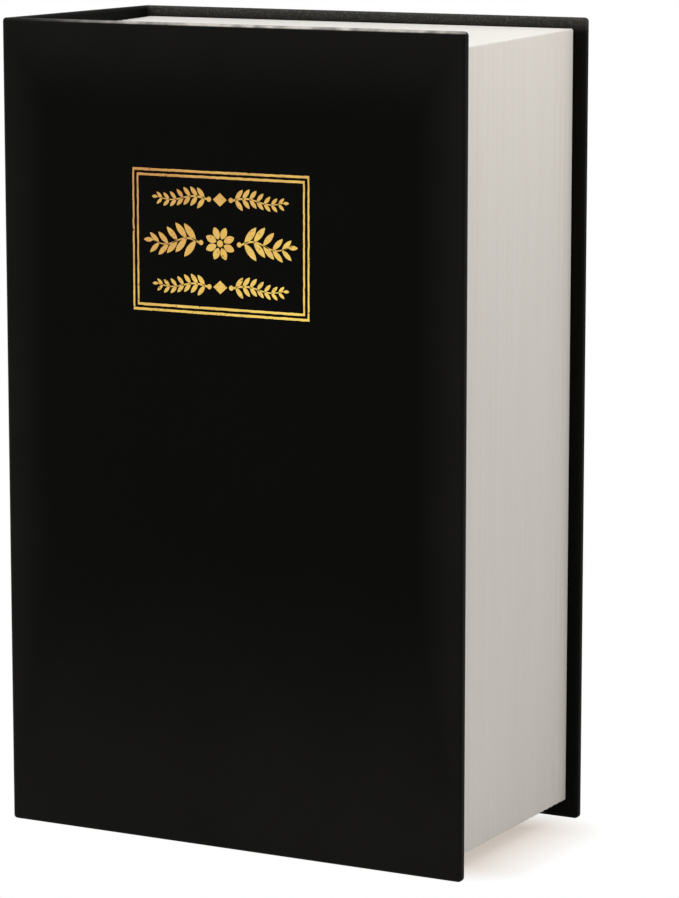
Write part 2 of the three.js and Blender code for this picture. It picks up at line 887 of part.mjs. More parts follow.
function makeLockPlug() {
  const head = rodAlongY(plugHeadRadius, plugFront, plugHeadBack, lockX, lockZ, lockSteps);
  const body = rodAlongY(plugRadius, plugFront, plugEnd, lockX, lockZ, lockSteps);
  const half = tangWidth / 2;
  const tang = block(
    [lockX - half, lockX + half],
    [plugEnd - 1, camBack - tangShort],
    [lockZ - half, lockZ + half],
  );
  const keyway = block(
    [lockX - keywayWidth / 2, lockX + keywayWidth / 2],
    [plugFront - 1, plugFront + keywayDepth],
    [lockZ - keywayHeight / 2, lockZ + keywayHeight / 2],
  );
  const keywayRound = rodAlongY(
    keywayRoundRadius,
    plugFront - 1,
    plugFront + keywayRoundDepth,
    lockX,
    lockZ,
    knuckleSteps,
  );
  const screwHole = rodAlongY(
    screwRadius + screwGap,
    camWasherBack - screwLength - screwGap,
    camBack + 1,
    lockX,
    lockZ,
    knuckleSteps,
  );
  let plug = head.add(body).add(tang).subtract(keyway).subtract(keywayRound).subtract(screwHole);
  for (let i = 0; i < waferCount; i += 1) {
    plug = plug.subtract(block(
      [lockX - plugRadius - 1, lockX + plugRadius + 1],
      [waferFront(i) - waferGap, waferFront(i) + waferThickness + waferGap],
      [lockZ - waferHeight / 2 - waferGap, lockZ + waferHeight / 2 + waferGap],
    ));
  }
  return plug;
}

function makeWafer(i) {
  const levels = [waferFront(i), waferFront(i) + waferThickness];
  const leaf = block(
    [lockX - waferLength / 2, lockX + waferLength / 2],
    levels,
    [lockZ - waferHeight / 2, lockZ + waferHeight / 2],
  );
  const window = block(
    [lockX - waferWindowWidth / 2, lockX + waferWindowWidth / 2],
    [levels[0] - 1, levels[1] + 1],
    [lockZ - waferWindowHeight / 2, lockZ + waferWindowHeight / 2],
  );
  return leaf.subtract(window);
}

addPart('lock_plug', makeLockPlug(), finish.satinNickel);
for (let i = 0; i < waferCount; i += 1) {
  addPart(`lock_wafer_${i + 1}`, makeWafer(i), finish.brass);
}

// Cam: points up when the lock is open, and turns behind the strike plate when it is locked
function makeLockCam() {
  const half = camWidth / 2;
  const arm = block([lockX - half, lockX + half], [plugEnd, camBack], [lockZ, lockZ + camReach - half]);
  const tip = rodAlongY(half, plugEnd, camBack, lockX, lockZ + camReach - half, lockSteps);
  const hub = rodAlongY(camHubRadius, plugEnd, camBack, lockX, lockZ, lockSteps);
  const hole = tangWidth / 2 + screwGap;
  const square = block(
    [lockX - hole, lockX + hole],
    [plugEnd - 1, camBack + 1],
    [lockZ - hole, lockZ + hole],
  );
  return arm.add(tip).add(hub).subtract(square);
}

function makeCamWasher() {
  const disc = rodAlongY(camWasherRadius, camBack, camWasherBack, lockX, lockZ, lockSteps);
  return disc.subtract(
    rodAlongY(screwRadius + screwGap, camBack - 1, camWasherBack + 1, lockX, lockZ, knuckleSteps),
  );
}

function makeCamScrew() {
  const headBack = camWasherBack + screwHeadHeight;
  const shoulder = screwHeadHeight / 2;
  const screw = turned(
    [
      [0, camWasherBack - screwLength],
      [screwRadius, camWasherBack - screwLength],
      [screwRadius, camWasherBack],
      [screwHeadRadius, camWasherBack],
      [screwHeadRadius, headBack - shoulder],
      [screwHeadRadius - shoulder / 2, headBack],
      [0, headBack],
    ],
    lockX,
    lockZ,
    roundSteps,
  );
  const bar = (alongX, alongZ) => block(
    [lockX - alongX / 2, lockX + alongX / 2],
    [headBack - crossDepth, headBack + 1],
    [lockZ - alongZ / 2, lockZ + alongZ / 2],
  );
  return screw.subtract(bar(crossLength, crossWidth)).subtract(bar(crossWidth, crossLength));
}

addPart('lock_cam', makeLockCam(), finish.zincSteel);
addPart('cam_washer', makeCamWasher(), finish.zincSteel);
addPart('cam_screw', makeCamScrew(), finish.zincSteel);

export default safe;
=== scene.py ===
import json
import math

import bmesh
import bpy
from mathutils import Matrix, Vector, noise

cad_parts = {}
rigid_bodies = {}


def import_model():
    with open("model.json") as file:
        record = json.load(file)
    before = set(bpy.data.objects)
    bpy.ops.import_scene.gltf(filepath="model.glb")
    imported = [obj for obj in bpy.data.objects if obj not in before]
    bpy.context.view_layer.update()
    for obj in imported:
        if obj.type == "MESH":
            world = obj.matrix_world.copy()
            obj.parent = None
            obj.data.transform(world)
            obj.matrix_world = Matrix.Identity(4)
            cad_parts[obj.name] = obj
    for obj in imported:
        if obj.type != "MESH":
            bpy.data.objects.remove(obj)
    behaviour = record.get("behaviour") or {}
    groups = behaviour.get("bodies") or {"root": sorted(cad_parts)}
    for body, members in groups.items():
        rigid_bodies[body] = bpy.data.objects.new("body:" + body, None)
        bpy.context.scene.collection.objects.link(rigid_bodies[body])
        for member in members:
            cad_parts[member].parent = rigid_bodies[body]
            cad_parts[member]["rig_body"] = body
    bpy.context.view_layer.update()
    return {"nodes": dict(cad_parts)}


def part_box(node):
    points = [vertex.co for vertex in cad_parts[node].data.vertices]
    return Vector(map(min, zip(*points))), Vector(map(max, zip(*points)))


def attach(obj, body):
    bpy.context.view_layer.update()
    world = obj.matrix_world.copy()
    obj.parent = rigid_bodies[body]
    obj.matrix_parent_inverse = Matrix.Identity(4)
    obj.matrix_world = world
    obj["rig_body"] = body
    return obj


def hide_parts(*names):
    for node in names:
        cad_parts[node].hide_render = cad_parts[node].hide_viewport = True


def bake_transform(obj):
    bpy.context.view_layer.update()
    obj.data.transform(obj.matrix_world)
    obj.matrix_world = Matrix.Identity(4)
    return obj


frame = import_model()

# A book diversion safe: black leatherette over boards, a white page frame round a painted steel box,
# and a cam lock in its lid. Shapes are worked out in millimetres and scaled to metres at the end.
# The front cover faces -Y, the spine is at -X and the book stands on z = 0.

mm = 0.001
tolerance = 0.001  # places closer than this, in millimetres, are the same
print("frame loaded")


# Colours and nodes

colourA, colourB, colourOut = 6, 7, 2  # sockets of a Mix node that mixes colours


def hexColour(text):
    channels = [int(text[i:i + 2], 16) / 255 for i in (1, 3, 5)]
    linear = [c / 12.92 if c <= 0.04045 else ((c + 0.055) / 1.055) ** 2.4 for c in channels]
    return (*linear, 1.0)


def addNode(tree, kind, inputs=None, **settings):
    # A node with its settings. An input is a value, a hex colour, one output of another node, or a
    # node, whose first output is then linked.
    node = tree.nodes.new(kind)
    for key, value in settings.items():
        setattr(node, key, value)
    for socket, value in (inputs or {}).items():
        if isinstance(value, bpy.types.Node):
            value = value.outputs[0]
        if isinstance(value, bpy.types.NodeSocket):
            tree.links.new(value, node.inputs[socket])
        else:
            node.inputs[socket].default_value = hexColour(value) if isinstance(value, str) else value
    return node


def newMaterial(name):
    material = bpy.data.materials.new(name)
    material.use_nodes = True
    tree = material.node_tree
    tree.nodes.clear()
    place = addNode(tree, "ShaderNodeTexCoord").outputs["Object"]
    return material, tree, place


def finishMaterial(material, bumpInputs, shaderInputs):
    # Every material ends alike: a bump turns the shader's normal, and the shader goes to the output
    tree = material.node_tree
    bump = addNode(tree, "ShaderNodeBump", bumpInputs)
    shader = addNode(tree, "ShaderNodeBsdfPrincipled", {"Normal": bump, **shaderInputs})
    addNode(tree, "ShaderNodeOutputMaterial", {"Surface": shader})
    return material


def perMillimetre(size):
    # Texture scale at which one cell or wave is this many millimetres
    return 1 / (size * mm)


def makeLeatherette():
    # PVC leatherette, calendered with a fine pebble grain: near black, a little greyer towards the
    # edges,
    #     # head and tail of the front, partly where hands rub and partly painted sheen; a painted
    #     highlight from
    #     # above on the pebble tops at the back cover's head; and a pale painted sheen along the
    #     front's head edge
    leather = {
        "pebble": 0.62, "crease": 2.6, "bend": 0.5, "height": 0.045, "mottle": 26.0, "sheenBreakup": 4.0,
        "sides": (44.0, 56.5), "head": (160.0, 180.0), "tail": (70.0, 0.0), "front": (-26.0, -28.4),
        "elsewhere": 0.25, "headHighlight": (176.5, 179.5), "backHighlight": (27.0, 28.8),
        "sheenHead": (179.4, 179.7), "sheenFront": (-29.2, -29.9), "sheenMiddle": 14.0,
        "sheenAlong": (66.0, 24.0),
    }
    material, tree, place = newMaterial("pebbledLeatherette")
    wander = addNode(tree, "ShaderNodeTexNoise", {
        "Vector": place, "Scale": perMillimetre(leather["crease"]), "Detail": 3.0})
    bent = addNode(tree, "ShaderNodeVectorMath", {
        0: wander.outputs["Color"], 1: (leather["bend"] * mm,) * 3, 2: place},
        operation="MULTIPLY_ADD")
    pebble = addNode(tree, "ShaderNodeTexVoronoi", {
        "Vector": bent, "Scale": perMillimetre(leather["pebble"]), "Smoothness": 0.6},
        feature="SMOOTH_F1")
    mottle = addNode(tree, "ShaderNodeTexNoise", {
        "Vector": place, "Scale": perMillimetre(leather["mottle"]), "Detail": 4.0, "Roughness": 0.6})

    # Each zone fades in from its first to its last place, in millimetres along its own axis
    x, y, z = addNode(tree, "ShaderNodeSeparateXYZ", {0: place}).outputs
    across = addNode(tree, "ShaderNodeMath", {0: x}, operation="ABSOLUTE")
    fromMiddle = addNode(tree, "ShaderNodeMath", {
        0: x, 1: leather["sheenMiddle"] * mm}, operation="SUBTRACT")
    along = addNode(tree, "ShaderNodeMath", {0: fromMiddle}, operation="ABSOLUTE")
    sources = {
        "sides": across, "head": z, "tail": z, "front": y, "headHighlight": z, "backHighlight": y,
        "sheenHead": z, "sheenFront": y, "sheenAlong": along}
    zones = {}
    for name, source in sources.items():
        first, last = leather[name]
        zones[name] = addNode(tree, "ShaderNodeMapRange", {
            "Value": source, "From Min": first * mm, "From Max": last * mm},
            interpolation_type="SMOOTHSTEP")
    # Real rub mixed with painted sheen: greyer towards the front's sides, head and tail
    edges = addNode(tree, "ShaderNodeMath", {
        0: zones["sides"], 1: zones["head"]}, operation="MAXIMUM")
    rubAndSheenEdges = addNode(tree, "ShaderNodeMath", {0: edges, 1: zones["tail"]}, operation="MAXIMUM")
    share = addNode(tree, "ShaderNodeMapRange", {
        "Value": zones["front"], "To Min": leather["elsewhere"], "To Max": 1.0})
    rubAndSheen = addNode(tree, "ShaderNodeMath", {0: rubAndSheenEdges, 1: share}, operation="MULTIPLY")
    # Painted highlight: the pebble tops at the back cover's head are lighter, as if lit from above
    highlightZone = addNode(tree, "ShaderNodeMath", {
        0: zones["headHighlight"], 1: zones["backHighlight"]}, operation="MULTIPLY")
    tops = addNode(tree, "ShaderNodeMapRange", {
        "Value": pebble.outputs["Distance"], "From Min": 0.15, "From Max": 0.5,
        "To Min": 0.85, "To Max": 0.42})
    paintedHighlight = addNode(tree, "ShaderNodeMath", {0: highlightZone, 1: tops}, operation="MULTIPLY")
    # Painted sheen: a pale line along the front cover's head edge, broken up by noise
    sheenBreakup = addNode(tree, "ShaderNodeTexNoise", {
        "Vector": place, "Scale": perMillimetre(leather["sheenBreakup"]), "Detail": 3.0})
    paintedSheen = addNode(tree, "ShaderNodeMapRange", {
        "Value": sheenBreakup, "From Min": 0.35, "From Max": 0.6, "To Min": 0.4, "To Max": 0.95})
    for name in ("sheenHead", "sheenFront", "sheenAlong"):
        paintedSheen = addNode(tree, "ShaderNodeMath", {0: paintedSheen, 1: zones[name]}, operation="MULTIPLY")

    fresh = addNode(tree, "ShaderNodeMix", {
        0: mottle, colourA: "#020201", colourB: "#050504"}, data_type="RGBA")
    rubAndSheenGrey = addNode(tree, "ShaderNodeMix", {
        0: mottle, colourA: "#0E0E0D", colourB: "#191918"}, data_type="RGBA")
    colour = fresh.outputs[colourOut]
    # Layers: rub with painted sheen, a painted highlight on the pebble tops, a pale painted sheen at
    # the head edge
    for amount, over in (
            (rubAndSheen, rubAndSheenGrey.outputs[colourOut]), (paintedHighlight, "#555450"), (paintedSheen, "#D8D3CC")):
        layer = addNode(tree, "ShaderNodeMix", {
            0: amount, colourA: colour, colourB: over}, data_type="RGBA")
        colour = layer.outputs[colourOut]
    roughness = addNode(tree, "ShaderNodeMapRange", {
        "Value": pebble.outputs["Distance"], "From Min": 0.1, "From Max": 0.8,
        "To Min": 0.44, "To Max": 0.6})
    height = addNode(tree, "ShaderNodeMath", {
        0: pebble.outputs["Distance"], 1: -1.0, 2: wander}, operation="MULTIPLY_ADD")
    return finishMaterial(
        material, {"Height": height, "Strength": 0.55, "Distance": leather["height"] * mm},
        {"Base Color": colour, "Roughness": roughness, "Specular IOR Level": 0.04})


def makeGoldFoil():
    # Hot-stamped gold foil with random patches of tone and a painted reflection, redder and dimmer
    # at the
    #     # upper left, yellower and brighter at the lower right; it follows the pebbles under it and
    #     breaks where they dip
    foil = {
        "pebble": 0.5, "patch": 5.0, "height": 0.04, "dimCorner": (-23.4, 148.8), "brightCorner": (20.2, 117.9)}
    material, tree, place = newMaterial("stampedGoldFoil")
    patch = addNode(tree, "ShaderNodeTexNoise", {
        "Vector": place, "Scale": perMillimetre(foil["patch"]), "Detail": 3.0, "Roughness": 0.7})
    speck = addNode(tree, "ShaderNodeTexNoise", {
        "Vector": place, "Scale": perMillimetre(foil["pebble"]), "Detail": 2.0})
    # Painted reflection: a ramp across the panel from the dim upper-left corner to the bright
    # lower-right one
    (dimX, dimZ), (brightX, brightZ) = foil["dimCorner"], foil["brightCorner"]
    slope = Vector((0.5 / (brightX - dimX), 0.0, 0.5 / (brightZ - dimZ))) / mm
    start = slope.dot(Vector((dimX, 0.0, dimZ))) * mm
    slant = addNode(tree, "ShaderNodeVectorMath", {0: place, 1: slope}, operation="DOT_PRODUCT")
    paintedLightRamp = addNode(tree, "ShaderNodeMath", {
        0: slant.outputs["Value"], 1: start}, operation="SUBTRACT")
    patchesAndLight = addNode(tree, "ShaderNodeMath", {0: patch, 1: 0.9, 2: paintedLightRamp}, operation="MULTIPLY_ADD")
    tone = addNode(tree, "ShaderNodeMapRange", {"Value": patchesAndLight, "From Min": 0.4, "From Max": 1.4})
    gold = addNode(tree, "ShaderNodeMix", {
        0: tone, colourA: "#CC925A", colourB: "#FFDC6E"}, data_type="RGBA")
    broken = addNode(tree, "ShaderNodeMapRange", {
        "Value": speck, "From Min": 0.64, "From Max": 0.74})
    colour = addNode(tree, "ShaderNodeMix", {
        0: broken, colourA: gold.outputs[colourOut], colourB: "#6B4A1C"}, data_type="RGBA")
    return finishMaterial(
        material, {"Height": speck, "Strength": 0.6, "Distance": foil["height"] * mm},
        {"Base Color": colour.outputs[colourOut], "Metallic": 0.9, "Roughness": 0.36})


def makeGreyBoard():
    # Millboard: pulped paper pressed flat, dull grey-brown with light and dark fibres
    board = {"fibre": 0.8, "cloud": 12.0, "height": 0.05}
    material, tree, place = newMaterial("pressedGreyBoard")
    fibre = addNode(tree, "ShaderNodeTexNoise", {
        "Vector": place, "Scale": perMillimetre(board["fibre"]), "Detail": 5.0, "Roughness": 0.7})
    cloud = addNode(tree, "ShaderNodeTexNoise", {
        "Vector": place, "Scale": perMillimetre(board["cloud"]), "Detail": 2.0})
    base = addNode(tree, "ShaderNodeMix", {
        0: cloud, colourA: "#80786C", colourB: "#9A9184"}, data_type="RGBA")
    colour = addNode(tree, "ShaderNodeMix", {
        0: fibre, colourA: base.outputs[colourOut], colourB: "#6F685D"}, data_type="RGBA")
    return finishMaterial(
        material, {"Height": fibre, "Strength": 0.4, "Distance": board["height"] * mm},
        {"Base Color": colour.outputs[colourOut], "Roughness": 0.93, "Specular IOR Level": 0.3})


def makeEndpaper():
    # Uncoated wood-free paper, glued down: off-white and matt, with a faint cockle from the glue
    paper = {"fibre": 0.45, "cockle": 22.0, "fibreHeight": 0.03, "cockleHeight": 0.8}
    material, tree, place = newMaterial("uncoatedEndpaper")
    fibre = addNode(tree, "ShaderNodeTexNoise", {
        "Vector": place, "Scale": perMillimetre(paper["fibre"]), "Detail": 4.0, "Roughness": 0.65})
    cockle = addNode(tree, "ShaderNodeTexNoise", {
        "Vector": place, "Scale": perMillimetre(paper["cockle"]), "Detail": 1.0})
    colour = addNode(tree, "ShaderNodeMix", {
        0: fibre, colourA: "#E6E2D8", colourB: "#F2EFE7"}, data_type="RGBA")
    glued = addNode(tree, "ShaderNodeBump", {
        "Height": cockle, "Strength": 0.35, "Distance": paper["cockleHeight"] * mm})
    return finishMaterial(
        material, {"Height": fibre, "Strength": 0.25, "Distance": paper["fibreHeight"] * mm,
                   "Normal": glued},
        {"Base Color": colour.outputs[colourOut], "Roughness": 0.88, "Specular IOR Level": 0.3})


def makePagePlastic():
    # Injection-moulded white polystyrene with lines like page edges, which run round the block:
    # the pattern is fine from front to back and long along the edges, and the gloss is low
    lines = {"sheet": 0.55, "band": 3.4, "run": 45.0, "height": 0.015}
    material, tree, place = newMaterial("mouldedPagePlastic")
    along = perMillimetre(lines["run"])
    patterns = {}
    for name, detail in (("sheet", 3.0), ("band", 1.0)):
        stretched = addNode(tree, "ShaderNodeMapping", {
            "Vector": place, "Scale": (along, perMillimetre(lines[name]), along)})
        patterns[name] = addNode(tree, "ShaderNodeTexNoise", {
            "Vector": stretched, "Scale": 1.0, "Detail": detail, "Roughness": 0.55})
    base = addNode(tree, "ShaderNodeMix", {
        0: patterns["band"], colourA: "#E7E4E0", colourB: "#EDEBE7"}, data_type="RGBA")
    dark = addNode(tree, "ShaderNodeMapRange", {
        "Value": patterns["sheet"], "From Min": 0.35, "From Max": 0.75, "To Max": 0.16})
    colour = addNode(tree, "ShaderNodeMix", {
        0: dark, colourA: base.outputs[colourOut], colourB: "#DBD8D3"}, data_type="RGBA")
    return finishMaterial(
        material, {"Height": patterns["sheet"], "Strength": 0.3, "Distance": lines["height"] * mm},
        {"Base Color": colour.outputs[colourOut], "Roughness": 0.55, "Specular IOR Level": 0.35})


def makePowderCoat():
    # Textured powder coat on steel: dark grey-green, cured to a soft pebble of about a millimetre
    coat = {"pebble": 1.1, "fine": 0.35, "wander": 3.0, "bend": 0.9, "height": 0.12}
    material, tree, place = newMaterial("texturedPowderCoat")
    wander = addNode(tree, "ShaderNodeTexNoise", {
        "Vector": place, "Scale": perMillimetre(coat["wander"]), "Detail": 2.0})
    bent = addNode(tree, "ShaderNodeVectorMath", {
        0: wander.outputs["Color"], 1: (coat["bend"] * mm,) * 3, 2: place}, operation="MULTIPLY_ADD")
    pebble = addNode(tree, "ShaderNodeTexVoronoi", {
        "Vector": bent, "Scale": perMillimetre(coat["pebble"]), "Smoothness": 0.9},
        feature="SMOOTH_F1")
    fine = addNode(tree, "ShaderNodeTexNoise", {
        "Vector": place, "Scale": perMillimetre(coat["fine"]), "Detail": 2.0})
    height = addNode(tree, "ShaderNodeMath", {
        0: fine, 1: 0.3, 2: pebble.outputs["Distance"]}, operation="MULTIPLY_ADD")
    colour = addNode(tree, "ShaderNodeMix", {
        0: pebble.outputs["Distance"], colourA: "#485551", colourB: "#303B39"}, data_type="RGBA")
    return finishMaterial(
        material, {"Height": height, "Strength": 0.9, "Distance": coat["height"] * mm},
        {"Base Color": colour.outputs[colourOut], "Roughness": 0.46, "Specular IOR Level": 0.4})


def makePlatedMetal(name, light, dark, roughness, spread, grain, stretch, height):
    # A plated or drawn metal: two close tones, and roughness that changes a little along the grain.
    # The grain's width and height are in millimetres, and it is stretched this many times along X.
    material, tree, place = newMaterial(name)
    scale = perMillimetre(grain)
    grained = addNode(tree, "ShaderNodeMapping", {
        "Vector": place, "Scale": (scale / stretch, scale, scale)})
    marks = addNode(tree, "ShaderNodeTexNoise", {
        "Vector": grained, "Scale": 1.0, "Detail": 4.0, "Roughness": 0.6})
    colour = addNode(tree, "ShaderNodeMix", {
        0: marks, colourA: dark, colourB: light}, data_type="RGBA")
    rough = addNode(tree, "ShaderNodeMapRange", {
        "Value": marks, "From Min": 0.3, "From Max": 0.7,
        "To Min": roughness - spread, "To Max": roughness + spread})
    return finishMaterial(
        material, {"Height": marks, "Strength": 0.3, "Distance": height * mm},
        {"Base Color": colour.outputs[colourOut], "Metallic": 1.0, "Roughness": rough})


leatherette = makeLeatherette()
goldFoil = makeGoldFoil()
greyBoard = makeGreyBoard()
endpaper = makeEndpaper()
pagePlastic = makePagePlastic()
powderCoat = makePowderCoat()
# Bright chrome over a polished casting: sharp reflections, hardly any grain
chrome = makePlatedMetal(
    "polishedChrome", light="#E2E2E0", dark="#D6D6D4", roughness=0.1, spread=0.02, grain=2.0,
    stretch=1.0, height=0.002)
# Brushed brass under nickel: soft reflections drawn out along the brushing
satinNickel = makePlatedMetal(
    "brushedNickel", light="#B9B9B5", dark="#9C9C99", roughness=0.34, spread=0.05, grain=0.25,
    stretch=12.0, height=0.006)
# Bright zinc plate on stamped steel: a cool, slightly cloudy shine
zincPlate = makePlatedMetal(
    "brightZincPlate", light="#C3C7CA", dark="#AEB3B7", roughness=0.3, spread=0.07, grain=1.4,
    stretch=1.0, height=0.008)
# Brass strip, blanked: warm, with fine rolling marks
stampedBrass = makePlatedMetal(
    "rolledBrass", light="#D2AE5C", dark="#BE9845", roughness=0.32, spread=0.05, grain=0.3,
    stretch=8.0, height=0.006)
# Annealed aluminium rivets: pale grey and rather dull
rivetAluminium = makePlatedMetal(
    "annealedAluminium", light="#CDCFD1", dark="#B6B8BB", roughness=0.42, spread=0.05, grain=0.8,
    stretch=1.0, height=0.008)
print("materials made")


# Making pieces

def cadBox(node):
    low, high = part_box(node)
    return low / mm, high / mm


def makePiece(name, bm, material):
    # A piece from a mesh in millimetres, not yet riding on a body
    bmesh.ops.scale(bm, vec=(mm, mm, mm), verts=bm.verts)
    mesh = bpy.data.meshes.new(name)
    bm.to_mesh(mesh)
    bm.free()
    mesh.materials.append(material)
    piece = bpy.data.objects.new(name, mesh)
    bpy.context.scene.collection.objects.link(piece)
    return piece


def addModifier(piece, kind, **settings):
    modifier = piece.modifiers.new(kind.title(), kind)
    for key, value in settings.items():
        setattr(modifier, key, value)


def settle(piece, sharpAngle):
    # Applies the modifiers, then shades smooth except across edges sharper than the angle
    bpy.context.view_layer.update()
    evaluated = piece.evaluated_get(bpy.context.evaluated_depsgraph_get())
    mesh = bpy.data.meshes.new_from_object(evaluated)
    piece.modifiers.clear()
    piece.data = mesh
    mesh.name = piece.name
    mesh.shade_smooth()
    mesh.set_sharp_from_angle(angle=math.radians(sharpAngle))
    addModifier(piece, "WEIGHTED_NORMAL", keep_sharp=True)


def thicken(piece, thickness):
    # Gives an open sheet its thickness, inwards from the side that shows
    addModifier(piece, "SOLIDIFY", thickness=thickness * mm, offset=-1.0)
    settle(piece, sharpAngle=50)


def standOn(piece, body, *nodes):
    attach(piece, body)
    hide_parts(*nodes)


def boxMesh(low, high):
    bm = bmesh.new()
    bmesh.ops.create_cube(bm, size=1.0)
    bmesh.ops.scale(bm, vec=high - low, verts=bm.verts)
    bmesh.ops.translate(bm, vec=(low + high) / 2, verts=bm.verts)
    return bm


def isAt(value, level):
    return abs(value - level) < tolerance


def edgesWhere(bm, test):
    return [e for e in bm.edges if test(e.verts[0].co) and test(e.verts[1].co)]


def roundEdges(bm, edges, radius, segments):
    bmesh.ops.bevel(
        bm, geom=edges, offset=radius, segments=segments, profile=0.5, affect="EDGES", material=-1,
        clamp_overlap=True)


def drawOut(bm, faces, move):
    # Extrudes these faces and moves the new ones; the old ones stay as the back
    made = bmesh.ops.extrude_face_region(bm, geom=faces)["geom"]
    verts = [g for g in made if isinstance(g, bmesh.types.BMVert)]
    bmesh.ops.translate(bm, vec=move, verts=verts)


def cutFaces(bm, faces, point, normal):
    # Cuts these faces along a plane, and leaves the rest of the mesh as it is
    parts = set(faces)
    for face in faces:
        parts.update(face.edges)
        parts.update(face.verts)
    bmesh.ops.bisect_plane(bm, geom=list(parts), dist=1e-4, plane_co=point, plane_no=normal)


def flatFaces(bm, axis, level):
    # Faces that lie flat at one level of an axis
    return [f for f in bm.faces if all(isAt(v.co[axis], level) for v in f.verts)]


def openWindow(bm, axis, level, cuts):
    # Cuts a rectangular window in a flat side; cuts are (axis, lowest, highest)
    for cutAxis, lowest, highest in cuts:
        normal = Vector((0, 0, 0))
        normal[cutAxis] = 1
        for cut in (lowest, highest):
            cutFaces(bm, flatFaces(bm, axis, level), normal * cut, normal)
    return [
        f for f in flatFaces(bm, axis, level)
        if all(lowest < f.calc_center_median()[a] < highest for a, lowest, highest in cuts)]


# The case is one sheet of leatherette: what its covers, joint and spine share

caseSheet = {
    "thickness": 0.35,
    "turnIn": 12.0,
    "jointTurnIn": 3.0,  # what lies inside, along the joint
    "cornerRadius": 0.9, "cornerSegments": 4,
    "edgeRadius": 0.75, "edgeSegments": 5,
}


def roundForeCorners(bm, low, high):
    # The tail and head corners at a cover's fore-edge
    corners = []
    for z in (low.z, high.z):
        corners += edgesWhere(bm, lambda p: isAt(p.x, high.x) and isAt(p.z, z))
    roundEdges(bm, corners, caseSheet["cornerRadius"], caseSheet["cornerSegments"])


# Front cover: leatherette drawn round the board on all sides and turned in behind it

frontCover = {"panelMargin": 0.45, "panelSlope": 0.2, "panelDepth": 0.08}


def makeFrontCover():
    low, high = cadBox("front_cover_leatherette")
    low.x = cadBox("front_cover_board")[0].x
    bm = boxMesh(low, high)
    roundForeCorners(bm, low, high)
    rim = edgesWhere(bm, lambda p: isAt(p.y, low.y)) + edgesWhere(bm, lambda p: isAt(p.y, high.y))
    rim = [e for e in rim if not all(isAt(v.co.x, low.x) for v in e.verts)]
    roundEdges(bm, rim, caseSheet["edgeRadius"], caseSheet["edgeSegments"])

    turnIn = caseSheet["turnIn"]
    window = openWindow(bm, 1, high.y, [
        (0, low.x + caseSheet["jointTurnIn"], high.x - turnIn),
        (2, low.z + turnIn, high.z - turnIn)])
    bmesh.ops.delete(bm, geom=window, context="FACES")

    # A panel is pressed in for the border
    ruleLow, ruleHigh = cadBox("title_border_outer")
    margin = frontCover["panelMargin"]
    panel = openWindow(bm, 1, low.y, [
        (0, ruleLow.x - margin, ruleHigh.x + margin),
        (2, ruleLow.z - margin, ruleHigh.z + margin)])
    bmesh.ops.inset_region(
        bm, faces=panel, thickness=frontCover["panelSlope"], depth=-frontCover["panelDepth"],
        use_even_offset=True, use_boundary=True)

    piece = makePiece("frontCoverSkin", bm, leatherette)
    thicken(piece, caseSheet["thickness"])
    standOn(piece, "front_cover", "front_cover_leatherette")


makeFrontCover()
print("front cover made")


# Joint: the leatherette round the front edge of the spine, folded in at head and tail

joint = {
    "legSteps": 4, "cornerSteps": 8,
    "innerCrowd": 0.6,  # under 1, the folds lie closer together towards the cover
    "turnIn": 3.0,
    "blendBefore": 2.65,  # the bend starts this far back on the spine
    "blendAfter": 0.95,  # and ends this far along the front
}


def jointStations(low, high):
    # Stations round the tail, up the length and round the head. A station is a share of the way
    # from the outer line to the inner line, a distance to add to it, and a height.
    radius = caseSheet["edgeRadius"]
    steps = caseSheet["edgeSegments"]
    angles = [math.pi / 2 * i / steps for i in range(steps + 1)]
    over = [(0, radius * (1 - math.cos(a)), radius * math.sin(a)) for a in angles]
    over += [(1, -s, rise) for _, s, rise in over[::-1]]
    over.append((1, 0.0, -joint["turnIn"]))
    tail = [(share, s, low.z + radius - rise) for share, s, rise in over[::-1]]
    head = [(share, s, high.z - radius + rise) for share, s, rise in over]
    return tail + head


def makeJoint():
    low, high = cadBox("front_joint_leatherette")
    spineInside = cadBox("spine_leatherette")[1].x
    coverInside = cadBox("front_cover_leatherette")[1].y
    end = cadBox("front_cover_board")[0].x
    radius = end - low.x

    # The outer line, from the spine round the corner to the cover, and the inner line behind it
    legs, turns = joint["legSteps"], joint["cornerSteps"]
    outer = [Vector((low.x, high.y + (low.y + radius - high.y) * i / legs)) for i in range(legs)]
    for i in range(turns + 1):
        angle = math.pi * (1 + 0.5 * i / turns)
        outer.append(Vector((
            low.x + radius + radius * math.cos(angle), low.y + radius + radius * math.sin(angle))))
    count = len(outer)
    shares = [(i / (count - 1)) ** joint["innerCrowd"] for i in range(count)]
    inner = [Vector((spineInside, high.y)).lerp(Vector((end, coverInside)), s) for s in shares]

    def placed(i, station):
        share, distance, level = station
        across = inner[i] - outer[i]
        return Vector((*(outer[i] + across * share + across.normalized() * distance), level))

    stations = jointStations(low, high)
    bm = bmesh.new()
    verts = [bm.verts.new(placed(i, stations[0])) for i in range(count)]
    edges = [bm.edges.new(pair) for pair in zip(verts, verts[1:])]
    for last, station in zip(stations, stations[1:]):
        made = bmesh.ops.extrude_edge_only(bm, edges=edges)["geom"]
        fresh = [g for g in made if isinstance(g, bmesh.types.BMVert)]
        edges = [e for e in bm.edges if e.verts[0] in fresh and e.verts[1] in fresh]
        for i in range(count):
            vert = min(fresh, key=lambda v: (v.co - placed(i, last)).length)
            fresh.remove(vert)
            vert.co = placed(i, station)
    bmesh.ops.recalc_face_normals(bm, faces=bm.faces)
    # The sheet is open, so its outside is set by a face on the spine side
    side = min(bm.faces, key=lambda f: f.calc_center_median().x)
    if side.normal.x > 0:
        bmesh.ops.reverse_faces(bm, faces=bm.faces)

    piece = makePiece("jointSkin", bm, leatherette)
    thicken(piece, caseSheet["thickness"])
    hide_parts("front_joint_leatherette")
    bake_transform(piece)


makeJoint()
print("joint made")


# Spine and back cover: one leatherette skin round both boards

spineEdge = {"radius": 1.0, "segments": 5}


